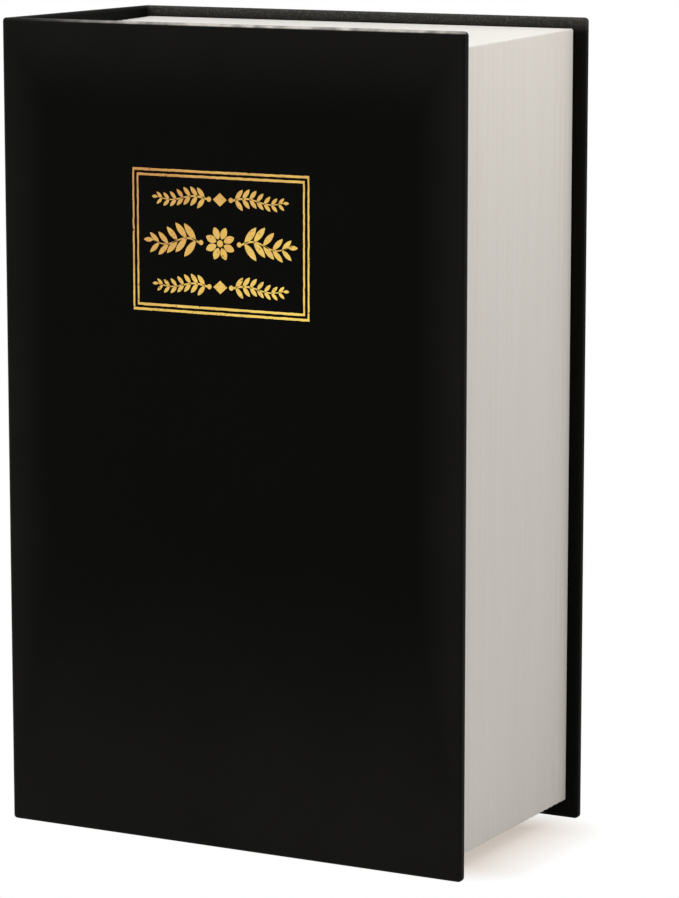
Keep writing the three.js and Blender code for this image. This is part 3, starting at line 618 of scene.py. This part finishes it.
def makeCaseSkin():
    spineLow, spineHigh = cadBox("spine_leatherette")
    backLow, backHigh = cadBox("back_cover_leatherette")
    bm = boxMesh(spineLow, Vector((spineHigh.x, backHigh.y, spineHigh.z)))
    # The back cover grows out of the rear of the spine
    cutFaces(bm, list(bm.faces), (0, backLow.y, 0), (0, 1, 0))
    grow = [f for f in bm.faces if isAt(f.calc_center_median().x, spineHigh.x)
            and f.calc_center_median().y > backLow.y]
    drawOut(bm, grow, (backHigh.x - spineHigh.x, 0, 0))
    bmesh.ops.delete(bm, geom=grow, context="FACES_ONLY")
    bmesh.ops.dissolve_limit(bm, angle_limit=0.01, verts=bm.verts, edges=bm.edges)
    bmesh.ops.recalc_face_normals(bm, faces=bm.faces)

    roundForeCorners(bm, backLow, backHigh)
    rear = edgesWhere(bm, lambda p: isAt(p.x, spineLow.x) and isAt(p.y, backHigh.y))
    roundEdges(bm, rear, **spineEdge)

    def onRim(edge):
        # Edges round head, tail and fore-edge that turn by over a radian, apart from the spine's cut
        # end at the joint
        if len(edge.link_faces) != 2 or edge.calc_face_angle(0) < 1:
            return False
        level = [all(isAt(v.co.z, z) for v in edge.verts) for z in (backLow.z, backHigh.z)]
        atFore = all(v.co.x > backHigh.x - caseSheet["cornerRadius"] - 0.01 for v in edge.verts)
        atJoint = all(isAt(v.co.y, spineLow.y) for v in edge.verts)
        return (any(level) or atFore) and not atJoint

    rim = [e for e in bm.edges if onRim(e)]
    roundEdges(bm, rim, caseSheet["edgeRadius"], caseSheet["edgeSegments"])
    turnIn = caseSheet["turnIn"]
    upright = (2, backLow.z + turnIn, backHigh.z - turnIn)
    backWindow = openWindow(bm, 1, backLow.y, [(0, spineHigh.x, backHigh.x - turnIn), upright])
    spineWindow = openWindow(bm, 0, spineHigh.x, [
        (1, spineLow.y + caseSheet["jointTurnIn"], backLow.y), upright])
    for window in (backWindow, spineWindow):
        bmesh.ops.delete(bm, geom=window, context="FACES")
    piece = makePiece("caseSkin", bm, leatherette)
    thicken(piece, caseSheet["thickness"])
    standOn(piece, "case", "spine_leatherette", "back_cover_leatherette")


makeCaseSkin()
print("spine and back cover made")


# Page block: white frame, ribbed like page edges, with a flat rim at the front

pageBlock = {
    "rib": 2.5, "ribDepth": 0.07, "ribVary": 0.2, "ribPhase": 2.4, "ribSteps": 8,
    "land": 2.0,  # flat before the first rib and after the last
    "rim": 2.6, "rimRadius": 0.25, "rimSteps": 4,
    "cornerRadius": 0.4, "cornerSegments": 3,
    "wellRadius": 0.5, "wellEdge": (0.25, 0.18),  # depth and inset of the well's soft edge
    "flangeWidth": 9.0, "openingRadius": 1.5,
}


def uprightLoop(bm, left, right, bottom, top, level, radius, segments):
    # A loop of edges: an upright rectangle with round corners
    made = bmesh.ops.create_grid(bm, x_segments=1, y_segments=1, size=0.5)["verts"]
    bmesh.ops.rotate(bm, verts=made, matrix=Matrix.Rotation(math.pi / 2, 3, "X"), cent=(0, 0, 0))
    bmesh.ops.scale(bm, verts=made, vec=(right - left, 1, top - bottom))
    bmesh.ops.translate(bm, verts=made, vec=((left + right) / 2, level, (bottom + top) / 2))
    face = made[0].link_faces[0]
    others = set(bm.faces) - {face}
    bmesh.ops.bevel(
        bm, geom=made, offset=radius, segments=segments, profile=0.5, affect="VERTICES", material=-1)
    face = next(f for f in bm.faces if f not in others)
    edges = list(face.edges)
    bmesh.ops.delete(bm, geom=[face], context="FACES_ONLY")
    return edges


def sweepLoop(bm, edges, left, right, bottom, top, stations):
    # Carries a loop through (level, inset) stations, as in a stack of sheets
    centre = Vector(((left + right) / 2, 0, (bottom + top) / 2))
    around = Matrix.Translation(-centre)
    inset = 0.0
    level = edges[0].verts[0].co.y
    for nextLevel, nextInset in stations:
        made = bmesh.ops.extrude_edge_only(bm, edges=edges)["geom"]
        verts = [g for g in made if isinstance(g, bmesh.types.BMVert)]
        bmesh.ops.translate(bm, vec=(0, nextLevel - level, 0), verts=verts)
        shrinkX = (right - left - 2 * nextInset) / (right - left - 2 * inset)
        shrinkZ = (top - bottom - 2 * nextInset) / (top - bottom - 2 * inset)
        bmesh.ops.scale(bm, vec=(shrinkX, 1, shrinkZ), space=around, verts=verts)
        edges = [
            g for g in made if isinstance(g, bmesh.types.BMEdge)
            and isAt(g.verts[0].co.y, g.verts[1].co.y)]
        level, inset = nextLevel, nextInset
    return edges


def ribStations(front, back):
    # Cosine ribs, each a little deeper or shallower than the next, as page edges are
    first = front + pageBlock["land"]
    last = back - pageBlock["land"]
    ribs = round((last - first) / pageBlock["rib"])
    stations = []
    for i in range(ribs * pageBlock["ribSteps"] + 1):
        turn = i / pageBlock["ribSteps"]
        vary = pageBlock["ribVary"] * math.sin(pageBlock["ribPhase"] * math.floor(turn))
        depth = pageBlock["ribDepth"] * (1 - pageBlock["ribVary"] + vary)
        stations.append((
            first + (last - first) * turn / ribs, depth * 0.5 * (1 - math.cos(2 * math.pi * turn))))
    return stations


def makePageBlock():
    low, high = cadBox("page_block")
    boxHigh = cadBox("steel_box")[1]
    sides = (low.x, high.x, low.z, high.z)
    # How much lower the head of the block is at its front than at its back
    block = frame["nodes"]["page_block"].data
    fall = high.z - max(v.co.z / mm for v in block.vertices if isAt(v.co.y / mm, low.y))
    wall = pageBlock["rim"]
    well = (low.x + wall, high.x - wall, low.z + wall, high.z - fall - wall)
    flange = pageBlock["flangeWidth"]
    opening = (well[0] + flange, well[1] - flange, well[2] + flange, well[3] - flange)
    radius = pageBlock["rimRadius"]
    segments = pageBlock["cornerSegments"]

    bm = bmesh.new()
    outer = uprightLoop(bm, *sides, low.y + radius, pageBlock["cornerRadius"], segments)
    angles = [math.pi / 2 * i / pageBlock["rimSteps"] for i in range(1, pageBlock["rimSteps"] + 1)]
    rim = [(radius * (1 - math.sin(a)), radius * (1 - math.cos(a))) for a in angles]
    front = sweepLoop(bm, outer, *sides, [(low.y + level, inset) for level, inset in rim])
    back = sweepLoop(
        bm, outer, *sides, ribStations(low.y, high.y) + [(high.y - radius, 0.0)]
        + [(high.y - level, inset) for level, inset in rim])
    for v in bm.verts:
        if v.co.z > (low.z + high.z) / 2:
            v.co.z -= fall * (high.y - v.co.y) / (high.y - low.y)
    lip = uprightLoop(bm, *well, low.y, pageBlock["wellRadius"], segments)
    edgeDepth, edgeInset = pageBlock["wellEdge"]
    inner = sweepLoop(bm, lip, *well, [(low.y + edgeDepth, edgeInset), (boxHigh.y, edgeInset)])
    floor = uprightLoop(bm, *opening, boxHigh.y, pageBlock["openingRadius"], segments)
    rear = sweepLoop(bm, floor, *opening, [(high.y, 0.0)])
    bmesh.ops.bridge_loops(bm, edges=front + lip)
    bmesh.ops.bridge_loops(bm, edges=inner + floor)
    bmesh.ops.bridge_loops(bm, edges=back + rear)
    bmesh.ops.recalc_face_normals(bm, faces=bm.faces)
    piece = makePiece("pageFrame", bm, pagePlastic)
    settle(piece, sharpAngle=50)
    standOn(piece, "case", "page_block")


makePageBlock()
print("page block made")


# Endpaper inside the front cover: it drapes over the turn-ins and down to the board

endpaperSheet = {"thickness": 0.18, "drop": 0.14, "slope": 1.6, "steps": 2}


def makeFrontEndpaper():
    low, high = cadBox("front_endpaper")
    skinLow, skinHigh = cadBox("front_cover_leatherette")
    edge = cadBox("front_cover_board")[0].x
    bm = boxMesh(low, high)
    away = [f for f in bm.faces if f.normal.y < 0.5]
    bmesh.ops.delete(bm, geom=away, context="FACES")
    turnIn = caseSheet["turnIn"]
    middle = openWindow(bm, 1, high.y, [
        (0, edge + caseSheet["jointTurnIn"], skinHigh.x - turnIn),
        (2, skinLow.z + turnIn, skinHigh.z - turnIn)])
    steps = endpaperSheet["steps"]
    for _ in range(steps):
        bmesh.ops.inset_region(
            bm, faces=middle, thickness=endpaperSheet["slope"] / steps,
            depth=-endpaperSheet["drop"] / steps, use_even_offset=True)
    piece = makePiece("frontEndpaper", bm, endpaper)
    thicken(piece, endpaperSheet["thickness"])
    standOn(piece, "front_cover", "front_endpaper")


makeFrontEndpaper()
print("endpaper made")


# Ornament inside the gold rules: a rosette between leaf sprays, and a row of smaller sprays above
# and below it

ornament = {
    "proud": 0.035, "clearance": 0.005,
    "petals": 8, "petalReach": 2.356, "petal": (2.736, 1.596), "petalPoint": 0.6, "eye": 1.5,
    "lozenge": (3.4, 2.89),
    "rows": (
        {"level": 0.0, "start": 5.2, "end": 16.6, "pairs": 5, "leaf": (4.7, 1.6), "wave": 0.8},
        {"level": 9.4, "start": 3.2, "end": 15.4, "pairs": 7, "leaf": (2.9, 1.1), "wave": 0.5},
        {"level": -9.4, "start": 3.2, "end": 15.4, "pairs": 7, "leaf": (2.9, 1.1), "wave": 0.5}),
    "stem": 0.44, "stemTaper": 0.6, "stemSteps": 28, "bead": 1.1, "beadBefore": 0.5,
    "leafPoint": 0.8,  # 0 is an oval, and 1 is drawn out sharp
    "leafAngle": 52, "leafClosing": 10, "leafTaper": 0.38,
    "firstLeaf": 0.35, "lastLeaf": (0.5, 0.62),
}


def layFlat(bm, verts, turn, x, z):
    # Turns a shape made in the XY plane and puts it on the panel, facing the front
    bmesh.ops.rotate(bm, verts=verts, matrix=Matrix.Rotation(turn, 3, "Z"), cent=(0, 0, 0))
    bmesh.ops.rotate(bm, verts=verts, matrix=Matrix.Rotation(math.pi / 2, 3, "X"), cent=(0, 0, 0))
    bmesh.ops.translate(bm, verts=verts, vec=(x, 0, z))


def addDisc(bm, length, width, point, turn, x, z, segments=20):
    # An oval; with a point of 1 its two ends are drawn out sharp, like a leaf
    verts = bmesh.ops.create_circle(bm, cap_ends=True, segments=segments, radius=1.0)["verts"]
    for v in verts:
        v.co.y *= (max(0.0, 1 - v.co.x ** 2)) ** (0.5 * point)
    bmesh.ops.scale(bm, verts=verts, vec=(length / 2, width / 2, 1))
    layFlat(bm, verts, turn, x, z)


def addLeaf(bm, x, z, angle, length, width):
    # A leaf that grows away from its stem at this angle
    reach = length / 2
    addDisc(
        bm, length, width, ornament["leafPoint"], angle, x + reach * math.cos(angle),
        z + reach * math.sin(angle))


def addSpray(bm, side, row):
    # A stem that rises and falls in one slow wave, with pairs of leaves that get smaller outwards
    start, end = row["start"], row["end"]
    length, width = row["leaf"]

    def onStem(along):
        wave = row["wave"] * math.sin(math.tau * along)
        return side * (start + (end - start) * along), row["level"] + wave

    verts = bmesh.ops.create_grid(
        bm, x_segments=ornament["stemSteps"], y_segments=1, size=0.5)["verts"]
    for v in verts:
        along = v.co.x + 0.5
        x, z = onStem(along)
        v.co.x, v.co.y = x, z + ornament["stem"] * (1 - ornament["stemTaper"] * along) * v.co.y
    layFlat(bm, verts, 0, 0, 0)
    for i in range(row["pairs"]):
        along = (i + ornament["firstLeaf"]) / row["pairs"]
        size = 1 - ornament["leafTaper"] * along
        for up in (1, -1):
            angle = up * math.radians(ornament["leafAngle"] - ornament["leafClosing"] * along)
            angle = angle if side > 0 else math.pi - angle
            addLeaf(bm, *onStem(along), angle, length * size, width * size)
    lengthShare, widthShare = ornament["lastLeaf"]
    outwards = 0 if side > 0 else math.pi
    addLeaf(bm, *onStem(1.0), outwards, length * lengthShare, width * widthShare)
    bead = ornament["bead"]
    addDisc(bm, bead, bead, 0, 0, side * (start - ornament["beadBefore"]), row["level"])


def makeOrnament():
    ruleLow, ruleHigh = cadBox("title_border_outer")
    coverFront = cadBox("front_cover_leatherette")[0].y
    centre = (ruleLow + ruleHigh) / 2
    bm = bmesh.new()
    for i in range(ornament["petals"]):
        angle = 2 * math.pi * (i + 0.5) / ornament["petals"]
        reach = ornament["petalReach"]
        addDisc(
            bm, *ornament["petal"], ornament["petalPoint"], angle, reach * math.cos(angle),
            reach * math.sin(angle))
    addDisc(bm, ornament["eye"], ornament["eye"], 0, 0, 0, 0)
    for row in ornament["rows"]:
        for side in (1, -1):
            addSpray(bm, side, row)
        if row["level"]:
            addDisc(bm, *ornament["lozenge"], 0, 0, 0, row["level"], segments=4)
    drawOut(bm, list(bm.faces), (0, ornament["proud"], 0))
    bmesh.ops.recalc_face_normals(bm, faces=bm.faces)
    ground = coverFront + frontCover["panelDepth"] - ornament["proud"] - ornament["clearance"]
    bmesh.ops.translate(bm, vec=(centre.x, ground, centre.z), verts=bm.verts)
    piece = makePiece("goldOrnament", bm, goldFoil)
    settle(piece, sharpAngle=30)
    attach(piece, "front_cover")


makeOrnament()
print("ornament made")


# Gold rules: two frames of foil with low shoulders, whose edges waver a little

rules = {
    "upright": 0.4, "level": 0.53,  # widths of the foil
    "proud": 0.03, "sunk": 0.005, "shoulder": 0.12, "crown": 0.02,
    "step": 0.5, "wave": 1.0, "waver": 0.075,
}


def makeRule(node, name):
    low, high = cadBox(node)
    levels = sorted({round(v.co.x / mm, 3) for v in frame["nodes"][node].data.vertices})
    cadWidth = levels[1] - levels[0]
    upright, level = rules["upright"], rules["level"]
    width = high.x - low.x - cadWidth + upright
    height = high.z - low.z - cadWidth + level
    centre = (low + high) / 2

    bm = bmesh.new()
    bmesh.ops.create_grid(bm, x_segments=1, y_segments=1, size=0.5)
    bmesh.ops.scale(bm, vec=(width, height, 1), verts=bm.verts)
    middle = list(bm.faces)
    bmesh.ops.inset_region(
        bm, faces=middle, thickness=level, use_even_offset=True, use_boundary=True)
    bmesh.ops.scale(
        bm, vec=((width - 2 * upright) / (width - 2 * level), 1, 1), verts=middle[0].verts)
    bmesh.ops.delete(bm, geom=middle, context="FACES")
    for axis, length in ((0, width), (1, height)):
        along = [
            e for e in bm.edges if e.calc_length() > length / 2
            and isAt(e.verts[0].co[1 - axis], e.verts[1].co[1 - axis])]
        bmesh.ops.subdivide_edges(
            bm, edges=along, cuts=round(length / rules["step"]), use_grid_fill=True)
    layFlat(bm, bm.verts, 0, 0, 0)
    bmesh.ops.recalc_face_normals(bm, faces=bm.faces)
    if bm.faces[0].normal.y > 0:
        bmesh.ops.reverse_faces(bm, faces=bm.faces)
    drawOut(bm, list(bm.faces), (0, -rules["proud"], 0))
    bmesh.ops.recalc_face_normals(bm, faces=bm.faces)
    bmesh.ops.inset_region(
        bm, faces=flatFaces(bm, 1, -rules["proud"]), thickness=rules["shoulder"],
        depth=rules["crown"], use_even_offset=True)
    for v in bm.verts:
        spot = Vector((v.co.x, width, v.co.z)) / rules["wave"]
        v.co.x += rules["waver"] * noise.noise(spot)
        v.co.z += rules["waver"] * noise.noise(spot + Vector((0, height, 0)))
    ground = cadBox("front_cover_leatherette")[0].y + frontCover["panelDepth"] + rules["sunk"]
    bmesh.ops.translate(bm, vec=(centre.x, ground, centre.z), verts=bm.verts)
    piece = makePiece(name, bm, goldFoil)
    settle(piece, sharpAngle=40)
    standOn(piece, "front_cover", node)


makeRule("title_border_outer", "outerRule")
makeRule("title_border_inner", "innerRule")
print("gold rules made")


# Pieces whose CAD shape is right: a copy with soft edges and smooth round faces

def refinedCopy(node, name, material, radius, segments=2, angle=30, cutter=None):
    # The cutter is a mesh in millimetres that is taken out of the copy before its edges are softened
    bm = bmesh.new()
    bm.from_mesh(frame["nodes"][node].data)
    bmesh.ops.scale(bm, vec=(1 / mm, 1 / mm, 1 / mm), verts=bm.verts)
    bmesh.ops.remove_doubles(bm, verts=bm.verts, dist=tolerance)
    bmesh.ops.dissolve_limit(bm, angle_limit=math.radians(1), verts=bm.verts, edges=bm.edges)
    piece = makePiece(name, bm, material)
    if cutter:
        tool = makePiece(name + "Cutter", cutter, material)
        addModifier(piece, "BOOLEAN", object=tool, operation="DIFFERENCE", solver="EXACT")
    addModifier(
        piece, "BEVEL", width=radius * mm, segments=segments, limit_method="ANGLE",
        angle_limit=math.radians(angle), profile=0.5)
    # Closes the specks that bevels leave where they meet in a thin corner
    addModifier(piece, "WELD", merge_threshold=0.002 * mm)
    settle(piece, sharpAngle=35)
    if cutter:
        bpy.data.objects.remove(tool)
    standOn(piece, frame["nodes"][node]["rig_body"], node)


lockFace = {
    "grooveRadius": 4.2, "grooveWidth": 0.22, "grooveDepth": 0.3, "grooveSteps": 96,
    "notchWidth": 0.28, "notchDepth": 0.3,
    "coneInner": 5.75, "coneOuter": 8.0, "coneDrop": 1.65,
}


def lockMiddle():
    low, high = cadBox("lock_barrel")
    return Vector(((low.x + high.x) / 2, low.y, (low.z + high.z) / 2))


def ringGroove():
    # A square section spun round the lock's axis, to cut a ring into the plug's face
    face = cadBox("lock_plug")[0].y
    width, depth = lockFace["grooveWidth"], lockFace["grooveDepth"]
    middle = lockMiddle()
    bm = bmesh.new()
    verts = bmesh.ops.create_grid(bm, x_segments=1, y_segments=1, size=0.5)["verts"]
    bmesh.ops.scale(bm, verts=verts, vec=(width, 2 * depth, 1))
    bmesh.ops.translate(
        bm, verts=verts, vec=(middle.x + lockFace["grooveRadius"] + width / 2, face, middle.z))
    bmesh.ops.delete(bm, geom=list(bm.faces), context="FACES_ONLY")
    bmesh.ops.spin(
        bm, geom=list(bm.verts) + list(bm.edges), cent=middle, axis=(0, 1, 0), angle=math.tau,
        steps=lockFace["grooveSteps"], use_merge=True)
    bmesh.ops.recalc_face_normals(bm, faces=bm.faces)
    return bm


def bezelNotch():
    # A thin bar laid along the cone above the plug, to cut the mark at the top of the bezel
    run = lockFace["coneOuter"] - lockFace["coneInner"]
    half = Vector((lockFace["notchWidth"] / 2, lockFace["notchDepth"], run))
    bm = boxMesh(-half, half)
    tilt = Matrix.Rotation(-math.atan2(lockFace["coneDrop"], run), 3, "X")
    bmesh.ops.rotate(bm, verts=bm.verts, matrix=tilt, cent=(0, 0, 0))
    reach = Vector((0, lockFace["coneDrop"] / 2, lockFace["coneInner"] + run / 2))
    bmesh.ops.translate(bm, verts=bm.verts, vec=lockMiddle() + reach)
    return bm


refinedCopy("steel_box", "boxTray", powderCoat, 0.22)
refinedCopy("steel_lid", "lidPanel", powderCoat, 0.3, segments=3)
refinedCopy("box_hinge_leaf", "boxHinge", powderCoat, 0.07)
refinedCopy("lid_hinge_leaf", "lidHinge", powderCoat, 0.07)
refinedCopy("hinge_pin", "hingeRod", zincPlate, 0.15)
refinedCopy("strike_plate", "strikeAngle", zincPlate, 0.15)
refinedCopy("lock_barrel", "lockBezel", chrome, 0.1, cutter=bezelNotch())
refinedCopy("lock_washer", "lockWasher", zincPlate, 0.08)
refinedCopy("lock_nut", "lockNut", zincPlate, 0.2)
refinedCopy("lock_plug", "lockPlug", satinNickel, 0.07, cutter=ringGroove())
refinedCopy("lock_cam", "lockCam", zincPlate, 0.12)
refinedCopy("cam_washer", "camWasher", zincPlate, 0.08)
refinedCopy("cam_screw", "camScrew", zincPlate, 0.08)
for i in range(1, 5):
    refinedCopy(f"box_rivet_{i}", f"blindRivet{i}", rivetAluminium, 0.06)
print("metal pieces made")

# Pieces that keep their CAD mesh
keptNodes = [
    ("front_cover_board", greyBoard), ("spine_board", greyBoard), ("back_cover_board", greyBoard),
    ("back_endpaper", endpaper)]
keptNodes += [(f"lock_wafer_{i}", stampedBrass) for i in range(1, 5)]
for name, look in keptNodes:
    materials = frame["nodes"][name].data.materials
    materials.clear()
    materials.append(look)
print("kept nodes finished")


# Studio, in metres: a pale floor that reads white, soft light from above left, and the photograph's
# camera

studio = {
    "floorSize": 24.0,
    "floorColour": "#F5EEE7",
    "shadowTint": "#FCF1E6",
    "shadowMiddle": (0.0245, 0.0, 0.0),
    "shadowHalf": (0.0245, 0.016, 0.0),
    "shadowReach": (0.018, 0.015, 1.0),
    "shadowKeep": 0.5,
    "fill": 0.455,
    "target": (0.0, 0.0, 0.09),
    "lamps": {
        "keyLamp": {"place": (-0.7, -0.7, 1.5), "size": 0.9, "power": 14.2, "colour": "#FFFDF9"},
        "headLamp": {
            "place": (0.165, 0.0, 0.275), "size": 0.08, "power": 0.09, "colour": "#FFFAF4"},
    },
}


def whiteRays(tree):
    # 1 for camera, glossy and transmission rays, which see the white background
    path = addNode(tree, "ShaderNodeLightPath")
    first = addNode(tree, "ShaderNodeMath", {
        0: path.outputs["Is Camera Ray"], 1: path.outputs["Is Glossy Ray"]}, operation="MAXIMUM")
    return addNode(tree, "ShaderNodeMath", {
        0: first, 1: path.outputs["Is Transmission Ray"]}, operation="MAXIMUM")


def makeFloor():
    bm = bmesh.new()
    bmesh.ops.create_grid(bm, x_segments=1, y_segments=1, size=studio["floorSize"] / 2)
    mesh = bpy.data.meshes.new("studioFloor")
    bm.to_mesh(mesh)
    bm.free()
    material, tree, place = newMaterial("paleStudioFloor")
    # The shadow shows between the covers, under the fore-edge, and fades to white away from there
    past = place
    for operation, amount in (
            ("SUBTRACT", studio["shadowMiddle"]), ("ABSOLUTE", (0, 0, 0)),
            ("SUBTRACT", studio["shadowHalf"]), ("MAXIMUM", (0, 0, 0)),
            ("DIVIDE", studio["shadowReach"])):
        past = addNode(tree, "ShaderNodeVectorMath", {0: past, 1: amount}, operation=operation)
    away = addNode(tree, "ShaderNodeVectorMath", {0: past}, operation="LENGTH").outputs["Value"]
    fade = addNode(tree, "ShaderNodeMapRange", {
        "Value": away, "To Min": 1 - studio["shadowKeep"], "To Max": 1.0})
    share = addNode(tree, "ShaderNodeMath", {0: fade, 1: whiteRays(tree)}, operation="MULTIPLY")
    tint = addNode(tree, "ShaderNodeMix", {
        0: away, colourA: studio["shadowTint"], colourB: "#FFFFFF"}, data_type="RGBA")
    diffuse = addNode(tree, "ShaderNodeBsdfDiffuse", {"Color": studio["floorColour"]})
    glow = addNode(tree, "ShaderNodeEmission", {"Color": tint.outputs[colourOut], "Strength": 1.0})
    mix = addNode(tree, "ShaderNodeMixShader", {0: share, 1: diffuse, 2: glow})
    addNode(tree, "ShaderNodeOutputMaterial", {"Surface": mix})
    mesh.materials.append(material)
    floor = bpy.data.objects.new("studioFloor", mesh)
    bpy.context.scene.collection.objects.link(floor)


def makeWorld():
    world = bpy.data.worlds.new("studioWorld")
    bpy.context.scene.world = world
    world.use_nodes = True
    tree = world.node_tree
    tree.nodes.clear()
    fill, white = [
        addNode(tree, "ShaderNodeBackground", {"Color": "#FFFFFF", "Strength": strength})
        for strength in (studio["fill"], 1.0)]
    mix = addNode(tree, "ShaderNodeMixShader", {0: whiteRays(tree), 1: fill, 2: white})
    addNode(tree, "ShaderNodeOutputWorld", {"Surface": mix})


def standAt(thing, place, direction):
    # Puts a lamp or the camera in its place, looking this way
    thing.location = place
    thing.rotation_mode = "QUATERNION"
    thing.rotation_quaternion = direction.to_track_quat("-Z", "Y")
    bpy.context.scene.collection.objects.link(thing)


def addSoftLamp(name, place, size, power, colour):
    lamp = bpy.data.lights.new(name, "AREA")
    lamp.shape = "DISK"
    lamp.size = size
    lamp.energy = power
    lamp.color = hexColour(colour)[:3]
    holder = bpy.data.objects.new(name, lamp)
    holder.visible_camera = False
    standAt(holder, place, Vector(studio["target"]) - Vector(place))


photoCamera = {
    "sensor": 36.0, "lens": 153.74, "clip": (0.02, 60.0),
    "place": (0.4058, -0.7370, 0.2259), "yaw": 28.184, "pitch": 9.543,
}


def makeCamera():
    data = bpy.data.cameras.new("photoCamera")
    data.sensor_width = photoCamera["sensor"]
    data.lens = photoCamera["lens"]
    data.clip_start, data.clip_end = photoCamera["clip"]
    camera = bpy.data.objects.new("photoCamera", data)
    yaw = math.radians(photoCamera["yaw"])
    pitch = math.radians(photoCamera["pitch"])
    back = Vector((
        math.sin(yaw) * math.cos(pitch), -math.cos(yaw) * math.cos(pitch), math.sin(pitch)))
    standAt(camera, photoCamera["place"], -back)
    bpy.context.scene.camera = camera


makeFloor()
makeWorld()
for name, lamp in studio["lamps"].items():
    addSoftLamp(name, **lamp)
makeCamera()
bpy.context.scene.view_settings.view_transform = "Standard"
print("studio made")
